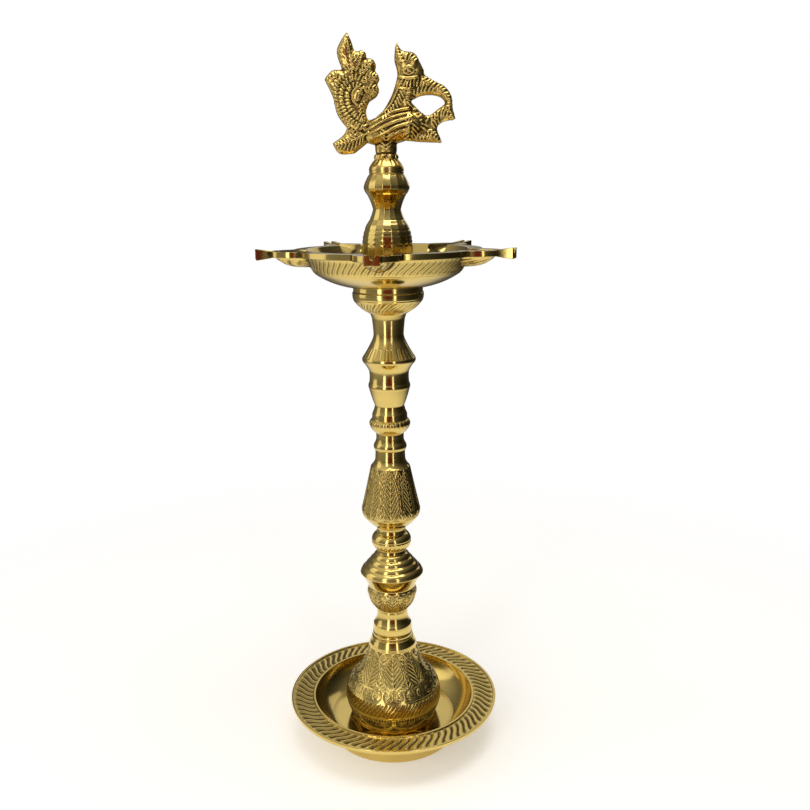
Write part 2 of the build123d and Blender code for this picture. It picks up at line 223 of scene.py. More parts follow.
@dataclass(frozen=True)
class Petals(Engraving):
    """Petals with round lower ends and a double outline, hatched in their upper part."""

    line: float = 0.36
    shoulder: float = 0.62
    inner_gap: float = 1.7
    hatch_pitch: float = 1.9

    def cut(self, turn: Array, up: Array, radius: Array, height: float) -> Array:
        """Return the depth of the outlines and the hatching."""
        across, pitch = self.cell(turn), self.pitch(radius)
        edge = 1.0 - np.sqrt(np.clip(1.0 - (2.04 * across) ** 2, 0.0, 1.0))
        above = (up - self.shoulder * edge) * height
        sides = (0.5 - np.abs(across)) * pitch
        outer = np.maximum(cut_line(above, self.line), cut_line(sides, self.line) * (up > 0.4))
        inner = cut_line(np.minimum(above, sides * 1.4) - self.inner_gap, self.line)
        hatch = (0.5 + 0.5 * np.cos(2.0 * np.pi * across * pitch / self.hatch_pitch)) ** 2
        hatched = hatch * ease((up - self.shoulder) * 8.0) * (sides > 1.4)
        return self.depth * np.maximum.reduce([outer, inner, 0.75 * hatched])


@dataclass(frozen=True)
class Scrolls(Engraving):
    """A row of curled tendrils, turning left and right by turns."""

    line: float = 0.3
    turns: float = 2.2
    size: float = 0.46
    ground: float = 0.55

    def cut(self, turn: Array, up: Array, radius: Array, height: float) -> Array:
        """Return the depth of the curls and the wave that joins them."""
        across, pitch = self.cell(turn) * self.pitch(radius), self.pitch(radius)
        hand = np.where(np.floor(turn * self.count + self.phase) % 2.0 > 0.5, 1.0, -1.0)
        rise = (up - 0.5) * height
        reach = np.hypot(across, rise) / (self.size * np.minimum(pitch, height))
        angle = np.arctan2(rise * hand, across) / (2.0 * np.pi)
        coil = (reach * self.turns - angle + 0.5) % 1.0 - 0.5
        curls = cut_line(coil * self.size * height / self.turns, self.line) * (reach < 1.0)
        return self.depth * np.maximum(curls, self.ground * ease((reach - 1.0) * 3.0))


@dataclass(frozen=True)
class Band:
    """Where an engraving lies on a section: from low to high, in mm above its foot or of radius.

    Its stain is how dark the deepest cuts have grown; bright-cut lines stay near 0. Where the
    lines stand proud, the ground between them is sunk instead.
    """

    low: float
    high: float
    engraving: Engraving
    fade: float = 0.35
    across: Across = Across.HEIGHT
    stain: float = 0.1
    proud: bool = False


# ---------------------------------------------------------------- turned shapes


@dataclass(frozen=True)
class Moulding:
    """One turned moulding: how far it rises, its radius at the top, and how far it bulges out."""

    rise: float
    radius: float
    bulge: float = 0.0


def mouldings(*rows: tuple[float, ...]) -> tuple[Moulding, ...]:
    """Return the mouldings of rows of rise, radius and, where they bulge, bulge."""
    return tuple(Moulding(*row) for row in rows)


def arc_points(start: Point, end: Point, bulge: float, spacing: float) -> list[Point]:
    """Sample the arc between two profile points.

    Args:
        start: the first point, as (radius, height).
        end: the last point.
        bulge: how far the arc's middle stands out of its chord, to the right of its direction.
        spacing: the longest step between samples.

    Returns:
        The points after start, up to and including end.
    """
    run, rise = end[0] - start[0], end[1] - start[1]
    chord = math.hypot(run, rise)
    steps = max(1, math.ceil(chord / spacing))
    if abs(bulge) < TINY:
        ways = [k / steps for k in range(1, steps + 1)]
        return [(start[0] + run * way, start[1] + rise * way) for way in ways]
    half = 2.0 * math.atan2(2.0 * abs(bulge), chord)
    radius = chord / (2.0 * math.sin(half))
    steps = max(steps, 4)
    points = []
    for k in range(1, steps + 1):
        angle = -half + 2.0 * half * k / steps
        along = 0.5 + radius * math.sin(angle) / chord
        out = math.copysign(radius * (math.cos(angle) - math.cos(half)), bulge) / chord
        points.append((start[0] + run * along + rise * out, start[1] + rise * along - run * out))
    return points


def trace(start: Point, *legs: tuple[Point, float] | tuple[Point, float, float]) -> list[Point]:
    """Draw a profile from a start along legs.

    Args:
        start: the first point, as (radius, height).
        legs: each leg's end, its longest step and, where it is curved, its bulge.

    Returns:
        The profile's points.
    """
    points = [start]
    for end, spacing, *bulge in legs:
        points += arc_points(points[-1], end, *(bulge or [0.0]), spacing)
    return points


def round_corners(points: list[Point], radius: float) -> list[Point]:
    """Replace each sharp corner of a closed profile, away from the axis, with three points."""
    rounded: list[Point] = []
    for before, here, after in zip([points[-1], *points[:-1]], points, [*points[1:], points[0]]):
        back = Vector(before) - Vector(here)
        on = Vector(after) - Vector(here)
        sharp = back.length > TINY and on.length > TINY and back.angle(-on) >= 0.3
        if here[0] < 0.01 or not sharp:
            rounded.append(here)
            continue
        step = min(radius, 0.4 * back.length, 0.4 * on.length)
        first = Vector(here) + back.normalized() * step
        last = Vector(here) + on.normalized() * step
        middle = (first + last) * 0.25 + Vector(here) * 0.5
        rounded += [tuple(first), tuple(middle), tuple(last)]
    return rounded


def lathe(outline: list[Point], steps: int) -> Shape:
    """Spin a closed profile, drawn in mm as (radius, height), into a solid in metres.

    An eighth is spun and then doubled three times, so steps is a multiple of eight.
    """
    shape = bmesh.new()
    corners = [shape.verts.new((r * MM, 0.0, z * MM)) for r, z in outline]
    pairs = zip(corners, [*corners[1:], corners[0]])
    edges = [shape.edges.new(pair) for pair in pairs if pair[0].co.x + pair[1].co.x > 1e-9]
    bmesh.ops.spin(
        shape,
        geom=[*corners, *edges],
        cent=(0.0, 0.0, 0.0),
        axis=(0.0, 0.0, 1.0),
        dvec=(0.0, 0.0, 0.0),
        angle=math.pi / 4.0,
        steps=steps // 8,
        use_merge=False,
        use_normal_flip=False,
        use_duplicate=False,
    )
    for turned in (45.0, 90.0, 180.0):
        made = bmesh.ops.duplicate(shape, geom=[*shape.verts, *shape.edges, *shape.faces])["geom"]
        moved = [item for item in made if isinstance(item, bmesh.types.BMVert)]
        turn = Matrix.Rotation(math.radians(turned), 3, "Z")
        bmesh.ops.rotate(shape, verts=moved, cent=(0.0, 0.0, 0.0), matrix=turn)
    bmesh.ops.remove_doubles(shape, verts=shape.verts[:], dist=MERGE)
    bmesh.ops.recalc_face_normals(shape, faces=shape.faces[:])
    return shape


def read_points(mesh: Mesh) -> tuple[Array, Array]:
    """Return a mesh's points in mm and its point normals."""
    points = np.empty(len(mesh.vertices) * 3)
    mesh.vertices.foreach_get("co", points)
    normals = np.empty(len(mesh.vertices) * 3)
    mesh.vertex_normals.foreach_get("vector", normals)
    return points.reshape(-1, 3) / MM, normals.reshape(-1, 3)


def write_points(mesh: Mesh, points: Array) -> None:
    """Move a mesh's points to places in mm."""
    mesh.vertices.foreach_set("co", (points * MM).ravel())
    mesh.update()


def measure_hollows(mesh: Mesh, passes: int, scale: float) -> Array:
    """Return how far each point lies in a hollow, 0 to 1, from a smoothed copy of the surface."""
    points, normals = read_points(mesh)
    edges = np.empty(len(mesh.edges) * 2, dtype=np.int64)
    mesh.edges.foreach_get("vertices", edges)
    near, far = edges[0::2], edges[1::2]
    ends, others = np.concatenate([near, far]), np.concatenate([far, near])
    share = np.maximum(np.bincount(ends, minlength=len(points)), 1)
    smooth = points.copy()
    for _ in range(passes):
        for axis in range(3):
            column = smooth[:, axis]
            total = np.bincount(ends, weights=column[others], minlength=len(points))
            smooth[:, axis] = 0.5 * column + 0.5 * total / share
    return ease(((smooth - points) * normals).sum(axis=1) / scale)


def write_hollows(mesh: Mesh, values: Array) -> None:
    """Keep the hollows as a point attribute for the materials."""
    layer = mesh.attributes.new(HOLLOW, "FLOAT", "POINT")
    layer.data.foreach_set("value", values.astype(np.float32))


def make_piece(name: str, shape: Shape) -> Piece:
    """Make a smooth-shaded object of a bmesh, and free the bmesh."""
    mesh = bpy.data.meshes.new(name)
    shape.to_mesh(mesh)
    shape.free()
    mesh.shade_smooth()
    piece = bpy.data.objects.new(name, mesh)
    bpy.context.scene.collection.objects.link(piece)
    return piece


def turn_piece(name: str, outline: list[Point], edge: float, steps: int) -> Piece:
    """Spin a profile, its sharp corners rounded, into a piece."""
    return make_piece(name, lathe(round_corners(outline, edge), steps))


@contextmanager
def edited(mesh: Mesh) -> Iterator[Shape]:
    """Open a mesh as a bmesh, and write it back afterwards."""
    shape = bmesh.new()
    shape.from_mesh(mesh)
    yield shape
    shape.to_mesh(mesh)
    shape.free()


def face_out(points: Array, normals: Array) -> Array:
    """Return how far each normal points away from the axis, -1 to 1."""
    radius = np.maximum(np.hypot(points[:, 0], points[:, 1]), TINY)
    return (points[:, 0] * normals[:, 0] + points[:, 1] * normals[:, 1]) / radius


def settle(piece: Piece, body: str, node: str, finish: "Finish") -> None:
    """Give a piece its body and its finish, and hide the CAD node that it stands for."""
    piece.data.materials.clear()
    piece.data.materials.append(finish.material())
    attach(piece, body)
    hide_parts(node)
    log.info("%s: %d faces, rides on %s", piece.name, len(piece.data.polygons), body)


def engrave(piece: Piece, foot: float, bands: Sequence[Band]) -> None:
    """Cut bands of engraving into a turned piece and mark its hollows.

    Args:
        piece: the turned piece, with the lamp's axis as its own.
        foot: height of the section's foot, in mm.
        bands: the engraved bands.
    """
    mesh = piece.data
    points, normals = read_points(mesh)
    radius = np.hypot(points[:, 0], points[:, 1])
    turn = np.arctan2(points[:, 1], points[:, 0]) / (2.0 * np.pi) % 1.0
    outside = (face_out(points, normals) > 0.03) & (radius > BORE_LIMIT)
    depth = np.zeros(len(points))
    stain = np.zeros(len(points))
    for band in bands:
        if band.across is Across.HEIGHT:
            way, shown = points[:, 2] - foot, outside
        else:
            way, shown = radius, normals[:, 2] > 0.5
        chosen = np.nonzero(shown & (way > band.low) & (way < band.high))[0]
        place = way[chosen]
        height = band.high - band.low
        cut = band.engraving.cut(turn[chosen], (place - band.low) / height, radius[chosen], height)
        if band.proud:
            cut = np.clip(band.engraving.depth - cut, 0.0, None)
        window = ease(np.minimum(place - band.low, band.high - place) / band.fade + 0.15)
        depth[chosen] = np.maximum(depth[chosen], cut * window)
        stain[chosen] = np.maximum(stain[chosen], band.stain * ease(cut * window / STAIN_DEPTH))
    grooves = measure_hollows(mesh, 6, 0.3)
    write_points(mesh, points - normals * depth[:, None])
    write_hollows(mesh, np.maximum(grooves, stain))


@dataclass
class TurnedSection:
    """A turned brass section: mouldings from the foot up, two threaded bores and engraving."""

    name: str
    body: str
    foot_radius: float
    mouldings: tuple[Moulding, ...]
    bands: tuple[Band, ...] = ()
    lower_bore: Point = (4.05, 13.0)
    upper_bore: Point = (4.05, 12.0)
    steps: int = 288
    fine: float = 0.34
    plain: float = 0.8
    edge: float = 0.3

    @property
    def foot(self) -> float:
        """Height of the foot in mm, from the CAD node."""
        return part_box(self.name)[0].z / MM

    def spacing(self, low: float, high: float) -> float:
        """Return the sample spacing for a moulding between two heights above the foot."""
        cut = any(band.low < high and band.high > low for band in self.bands)
        return self.fine if cut else self.plain

    def skin(self) -> list[Point]:
        """Return the outer profile from the foot's edge to the top's edge."""
        points = [(self.foot_radius, self.foot)]
        for moulding in self.mouldings:
            start = points[-1]
            end = (moulding.radius, start[1] + moulding.rise)
            spacing = self.spacing(start[1] - self.foot, end[1] - self.foot)
            points += arc_points(start, end, moulding.bulge, spacing)
        return points

    def outline(self) -> list[Point]:
        """Return the closed profile, bores included."""
        skin = self.skin()
        low, high = skin[0][1], skin[-1][1]
        (lower_radius, lower_depth), (upper_radius, upper_depth) = self.lower_bore, self.upper_bore
        below = [(0.0, low + lower_depth), (lower_radius, low + lower_depth), (lower_radius, low)]
        socket = high - upper_depth
        above = [(upper_radius, high), (upper_radius, socket), (0.0, socket)]
        return below + skin + above

    def build(self, finish: "Finish") -> Piece:
        """Make, engrave and dress the section."""
        piece = turn_piece(f"{self.name}_turned", self.outline(), self.edge, self.steps)
        engrave(piece, self.foot, self.bands)
        settle(piece, self.body, self.name, finish)
        return piece


@dataclass
class Bell(TurnedSection):
    """The hollow bell pedestal, with the boss for the base stud inside."""

    wall: float = 3.0
    skirt_count: int = 3
    boss_radius: float = 9.0
    boss_bore: Point = (4.0, 9.0)

    def outline(self) -> list[Point]:
        """Return the closed profile: the skin, the socket in the crown, and the inside."""
        skin = self.skin()
        inner = [(self.foot_radius - self.wall, self.foot)]
        for moulding in self.mouldings[: self.skirt_count]:
            start = inner[-1]
            end = (moulding.radius - self.wall, start[1] + moulding.rise)
            inner += arc_points(start, end, moulding.bulge, self.plain * 1.5)
        high, crown = skin[-1][1], inner[-1][1]
        radius, depth = self.upper_bore
        web = high - depth - 1.0
        boss = [
            (self.boss_radius, crown),
            (self.boss_radius, web - self.boss_bore[1]),
            (self.boss_bore[0], web - self.boss_bore[1]),
            (self.boss_bore[0], web),
            (0.0, web),
        ]
        socket = [(0.0, high - depth), (radius, high - depth), (radius, high)]
        return inner + boss + socket + skin[::-1]


@dataclass
class BasePlate:
    """The dished base plate: tray, banded rim with rope strokes, and foot ring."""

    rim_radius: float = 70.3
    lip: float = 1.6
    band: float = 13.2
    rim_thickness: float = 2.2
    sink: float = 0.8
    floor_radius: float = 41.5
    wall_bulge: float = 2.4
    foot_step: float = 1.5
    foot_wall: float = 3.0
    wall: float = 2.6
    underside: float = 9.5
    hole: float = 4.4
    steps: int = 648
    strokes: int = 72
    floor_rings: Triple = (31.0, 36.5, 39.5)

    def outline(self) -> list[Point]:
        """Return the closed profile, drawn from the hole outwards below and back above."""
        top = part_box("base_plate")[1].z / MM
        foot = self.floor_radius + self.foot_step
        outer = self.rim_radius - self.lip
        inner = outer - self.band
        mouth = inner - self.lip
        low = top - self.rim_thickness
        floor = self.underside + self.wall
        return trace(
            (self.hole, self.underside),
            ((foot - self.foot_wall, self.underside), 6.0),
            ((foot - self.foot_wall, 0.0), 4.0),
            ((foot, 0.0), 3.0),
            ((foot, self.underside), 2.5),
            ((mouth + self.wall, low - self.sink), 1.2, self.wall_bulge),
            ((outer, low), 3.0),
            ((self.rim_radius, low), 1.6),
            ((self.rim_radius, top), 0.8),
            ((outer, top), 0.6),
            ((outer, top - self.sink), 0.8),
            ((inner, top - self.sink), 0.42),
            ((inner, top), 0.8),
            ((mouth, top), 0.6),
            ((self.floor_radius, floor), 1.0, -self.wall_bulge),
            ((self.hole, floor), 3.0),
        )

    def build(self, finish: "Finish") -> Piece:
        """Make, engrave and dress the plate."""
        outer = self.rim_radius - self.lip
        rope = RopeLobes(self.strokes, 1.0, slant=-1.55, curl=0.75)
        ring = Rings(1, 0.12, line=0.3)
        bands = [Band(outer - self.band, outer, rope, 0.5, Across.RADIUS, 0.9)]
        for turned in self.floor_rings:
            bands.append(Band(turned - 1.0, turned + 1.0, ring, 0.4, Across.RADIUS))
        piece = turn_piece("base_plate_dished", self.outline(), 0.4, self.steps)
        engrave(piece, 0.0, bands)
        settle(piece, "base", "base_plate", finish)
        return piece


@dataclass
class OilDish:
    """The oil dish: collar, bowl, flat rim and five spouts, drawn round the axis in one surface."""

    collar_radius: float = 21.7
    collar_rise: float = 3.3
    bowl_foot: float = 25.0
    belly_turn: Point = (45.4, 8.6)
    mouth: Point = (52.0, 10.7)
    bulges: Point = (1.2, 0.2)
    rim_radius: float = 58.0
    rim_thickness: float = 3.5
    wall: float = 2.3
    hub: float = 6.4
    floor_radius: float = 27.0
    hole: float = 4.4
    spouts: int = 5
    first_angle: float = 48.0
    reach: float = 80.5
    nose_length: float = 8.6
    nose_half: float = 4.4
    nose_rise: float = 1.4
    nose_drop: float = 1.5
    lobe_half: float = 14.0
    lobe_bulge: float = 2.6
    belly_radius: float = 10.0
    belly_gap: float = 1.9
    channel_radius: float = 1.7
    steps: int = 560
    floor_guard: float = 30.0

    def outline(self, base: float) -> list[Point]:
        """Return the closed profile between the spouts, from the hole outwards below."""
        (turn_radius, turn_rise), (mouth_radius, mouth_rise) = self.belly_turn, self.mouth
        foot = base + self.collar_rise
        under = foot + turn_rise + mouth_rise
        top = under + self.rim_thickness
        inner_turn = (turn_radius - self.wall, foot + turn_rise + self.wall / 2.0)
        return trace(
            (self.hole, base),
            ((self.collar_radius, base), 6.0),
            ((self.collar_radius, foot), 0.9),
            ((self.bowl_foot, foot), 1.2),
            ((turn_radius, foot + turn_rise), 0.8, self.bulges[0]),
            ((mouth_radius, under), 0.38, self.bulges[1]),
            ((self.rim_radius, under), 1.0),
            ((self.rim_radius, top), 0.65),
            ((mouth_radius - self.wall, top), 0.9),
            (inner_turn, 0.6),
            ((self.floor_radius, base + self.hub), 0.9, -self.bulges[0]),
            ((self.hole, base + self.hub), 2.0),
        )

    @property
    def root(self) -> float:
        """How far from the axis the noses start."""
        return self.reach - self.nose_length

    def rim_reach(self, angle: Array) -> Array:
        """Return how far the rim reaches at angles, in degrees, from a spout's middle."""
        start = (math.sqrt(self.rim_radius**2 - self.lobe_half**2), self.lobe_half)
        curve = [start, *arc_points(start, (self.root, self.nose_half), -self.lobe_bulge, 0.6)]
        curve += [(self.reach, self.nose_half), (self.reach, 0.0)]
        place = np.array(curve[::-1])
        angles = np.degrees(np.arctan2(place[:, 1], place[:, 0]))
        return np.interp(np.abs(angle), angles, np.hypot(place[:, 0], place[:, 1]))

    def hollow_reach(self, widths: Callable[[Array], Array], side: Array, drop: Array) -> Array:
        """Return how far out a form round a spout's line still covers each place.

        Args:
            widths: the form's radius at each distance from the lamp's axis.
            side: tangent of each place's angle from the spout's middle.
            drop: how far each place is below the rim's top, in mm.

        Returns:
            The furthest distance along the spout that the form covers, or 0.
        """
        out = np.linspace(self.mouth[0] - 6.0, self.reach, 240)
        reach = np.zeros(len(side))
        for distance, radius in zip(out, widths(out)):
            reach[(distance * side) ** 2 + drop**2 <= radius**2] = distance
        return reach

    def belly_width(self, out: Array) -> Array:
        """Return the radius of the spout's belly at distances from the lamp's axis."""
        end = self.root - self.belly_gap
        way = np.clip((out - self.mouth[0]) / (end - self.mouth[0]), 0.0, 1.0)
        return self.belly_radius * np.sqrt(1.0 - way**2) * (out < end)

    def channel_width(self, out: Array) -> Array:
        """Return the radius of the wick channel at distances from the lamp's axis."""
        start = self.belly_radius - self.wall
        way = ease((out - self.mouth[0]) / (self.root - self.mouth[0]))
        return start + (self.channel_radius - start) * way

    def spread_columns(self, points: Array) -> tuple[Array, Array]:
        """Turn the columns so that most lie near the spouts, and return each point's angles.

        Args:
            points: the spun points, in mm.

        Returns:
            The new points, and each point's angle from its spout's middle in degrees.
        """
        share = 360.0 / self.spouts
        angle = np.degrees(np.arctan2(points[:, 1], points[:, 0])) % 360.0
        place = (angle / share + 0.5) % 1.0 - 0.5
        spout = np.round(angle / share - place)
        ends, turned = (0.0, 0.15, 0.26, 0.5), (0.0, 4.2, 12.0, share / 2.0)
        local = np.sign(place) * np.interp(np.abs(place), ends, turned)
        bearing = np.radians(self.first_angle + spout * share + local)
        radius = np.hypot(points[:, 0], points[:, 1])
        moved = np.column_stack([radius * np.cos(bearing), radius * np.sin(bearing), points[:, 2]])
        return moved, local

    def draw_spouts(self, points: Array, normals: Array, top: float) -> Array:
        """Draw the lobes, noses, bellies and wick channels out of the spun dish."""
        moved, local = self.spread_columns(points)
        radius = np.hypot(points[:, 0], points[:, 1])
        bearing = np.arctan2(moved[:, 1], moved[:, 0])
        side = np.abs(np.tan(np.radians(local)))
        height = points[:, 2].copy()
        drop = top - height
        facing = face_out(points, normals)
        under = top - self.rim_thickness
        mouth, inner = self.mouth[0], self.mouth[0] - self.wall
        rim = (height > under - SLACK) & (radius > inner - SLACK)
        outer_wall = ~rim & (facing > 0.02) & (height > under - self.mouth[1] - 3.0)
        inner_wall = ~rim & (facing < -0.02) & (radius > self.floor_guard)
        new = radius.copy()
        belly = self.hollow_reach(self.belly_width, side, drop)
        channel = self.hollow_reach(self.channel_width, side, drop)
        new[outer_wall] = np.maximum(radius, belly)[outer_wall]
        new[inner_wall] = np.maximum(radius, channel)[inner_wall]
        lower = rim & (height < under + SLACK)
        inside = np.where(lower, np.maximum(mouth, belly), np.maximum(inner, channel))
        start = np.where(lower, mouth, inner)
        way = np.clip((radius - start) / (self.rim_radius - start), 0.0, 1.0)
        new = np.where(rim, inside + way * (self.rim_reach(local) - inside), new)
        along = new * np.cos(np.radians(local))
        way = np.clip((along - self.root) / self.nose_length, 0.0, 1.0)
        nose = 0.2 * ease(way * 5.0) + 0.8 * way
        lift = np.clip((height - under) / self.rim_thickness, 0.0, 1.0)
        height = height + rim * nose * (self.nose_rise * lift - self.nose_drop * (1.0 - lift))
        groove = new * np.abs(np.sin(np.radians(local)))
        bottom = top - np.sqrt(np.clip(self.channel_radius**2 - groove**2, 0.0, None))
        at_tip = (along > self.reach - SLACK) & (groove < self.channel_radius)
        height = np.where(at_tip, np.minimum(height, bottom), height)
        return np.column_stack([new * np.cos(bearing), new * np.sin(bearing), height])

    def build(self, finish: "Finish") -> Piece:
        """Make, engrave and dress the dish."""
        low, high = (corner.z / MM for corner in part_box("oil_dish"))
        piece = turn_piece("oil_dish_spouted", self.outline(low), 0.25, self.steps)
        points, normals = read_points(piece.data)
        write_points(piece.data, self.draw_spouts(points, normals, high - self.nose_rise))
        with edited(piece.data) as shape:
            bmesh.ops.remove_doubles(shape, verts=shape.verts[:], dist=4.0 * MERGE)
        wall_foot = self.collar_rise + self.belly_turn[1]
        leaves = RopeLobes(72, 0.8, slant=1.7, curl=0.35, vein=0.5)
        bands = (
            Band(wall_foot + 0.7, wall_foot + self.mouth[1] - 0.9, leaves, 0.4, stain=0.9),
            Band(wall_foot - 0.4, wall_foot + 0.7, Rings(1, 0.3, line=0.3), 0.3),
        )
        engrave(piece, low, bands)
        piece.data.set_sharp_from_angle(angle=math.radians(48.0))
        settle(piece, "oil_dish_body", "oil_dish", finish)
        return piece


@dataclass
class Stud:
    """A screw stud with a rolled thread."""

    name: str
    pitch: float = 1.25
    steps: int = 40
    rows: int = 8
    chamfer: float = 0.8
    thread_depth: float = 0.54

    def build(self, finish: "Finish") -> Piece:
        """Make, thread and dress the stud."""
        low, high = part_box(self.name)
        radius, foot, top = high.x / MM, low.z / MM, high.z / MM
        tip = radius - self.chamfer
        points = trace(
            (0.0, foot),
            ((tip, foot), 1.5),
            ((radius, foot + self.chamfer), 0.4),
            ((radius, top - self.chamfer), self.pitch / self.rows),
            ((tip, top), 0.4),
            ((0.0, top), 1.5),
        )
        piece = make_piece(f"{self.name}_threaded", lathe(points, self.steps))
        places, _ = read_points(piece.data)
        around = np.hypot(places[:, 0], places[:, 1])
        turn = np.arctan2(places[:, 1], places[:, 0]) / (2.0 * np.pi)
        wave = np.abs(2.0 * (((places[:, 2] - foot) / self.pitch - turn) % 1.0) - 1.0)
        depth = self.thread_depth * self.pitch * np.clip(wave * 1.25 - 0.12, 0.0, 1.0)
        threaded = around > radius - self.chamfer * 0.6
        scale = np.where(threaded, (around - depth) / np.maximum(around, TINY), 1.0)
        places[:, :2] *= scale[:, None]
        write_points(piece.data, places)
        write_hollows(piece.data, ease(depth / self.pitch * 1.6 * (scale < 1.0)))
        settle(piece, f"{self.name}_body", self.name, finish)
        return piece


# ---------------------------------------------------------------- the bird


class Stroke(Enum):
    """How strokes lie along a path on the bird."""

    VEINS = "veins on both sides of a midrib"
    ROPE = "strokes right across"
    RIDGE = "one long ridge"


@dataclass(frozen=True)
class Member:
    """A flat member of the casting: its outline's smooth runs, half depth and edge rounding.

    Each run starts where the one before it ends, and the first where the last ends.
    """

    half_depth: float
    runs: tuple[tuple[Point, ...], ...]
    rounding: float = 5.0

    def loop(self) -> Array:
        """Return the closed outline."""
        starts = [self.runs[-1][-1], *(run[-1] for run in self.runs[:-1])]
        lines = [smooth_path((start, *run), 1.0) for start, run in zip(starts, self.runs)]
        return np.vstack([line[:-1] for line in lines])


@dataclass(frozen=True)
class Relief:
    """Carved strokes along a path: the path, its half widths, and the strokes' pitch and size."""

    stroke: Stroke
    path: tuple[Point, ...]
    widths: tuple[float, ...]
    pitch: float = 1.7
    slant: float = 48.0
    thick: float = 0.62


def smooth_path(points: Sequence[Point], step: float) -> Array:
    """Return a smooth line through points, sampled at about the given step."""
    given = np.array([points[0], *points, points[-1]], dtype=float)
    line = []
    for a, b, c, d in zip(given, given[1:], given[2:], given[3:]):
        count = max(1, round(float(np.hypot(*(c - b))) / step))
        t = np.linspace(0.0, 1.0, count, endpoint=False)[:, None]
        curve = 2.0 * b + (c - a) * t + (2.0 * a - 5.0 * b + 4.0 * c - d) * t**2
        line.append(0.5 * (curve + (3.0 * b - a - 3.0 * c + d) * t**3))
    return np.vstack([*line, given[-1:]])


def edge_distance(points: Array, loop: Array) -> Array:
    """Return the distance of flat points from a closed line."""
    nearest = np.full(len(points), np.inf)
    for start, end in zip(loop, np.roll(loop, -1, axis=0)):
        run = end - start
        length = max(float(run @ run), 1e-9)
        way = np.clip(((points - start) @ run) / length, 0.0, 1.0)[:, None]
        nearest = np.minimum(nearest, np.hypot(*(points - start - way * run).T))
    return nearest


def remesh(piece: Piece, voxel: float) -> None:
    """Make one closed skin of an object's overlapping shapes."""
    modifier = piece.modifiers.new("skin", "REMESH")
    modifier.mode = "VOXEL"
    modifier.voxel_size = voxel * MM
    depsgraph = bpy.context.evaluated_depsgraph_get()
    mesh = bpy.data.meshes.new_from_object(piece.evaluated_get(depsgraph))
    piece.modifiers.clear()
    piece.data = mesh


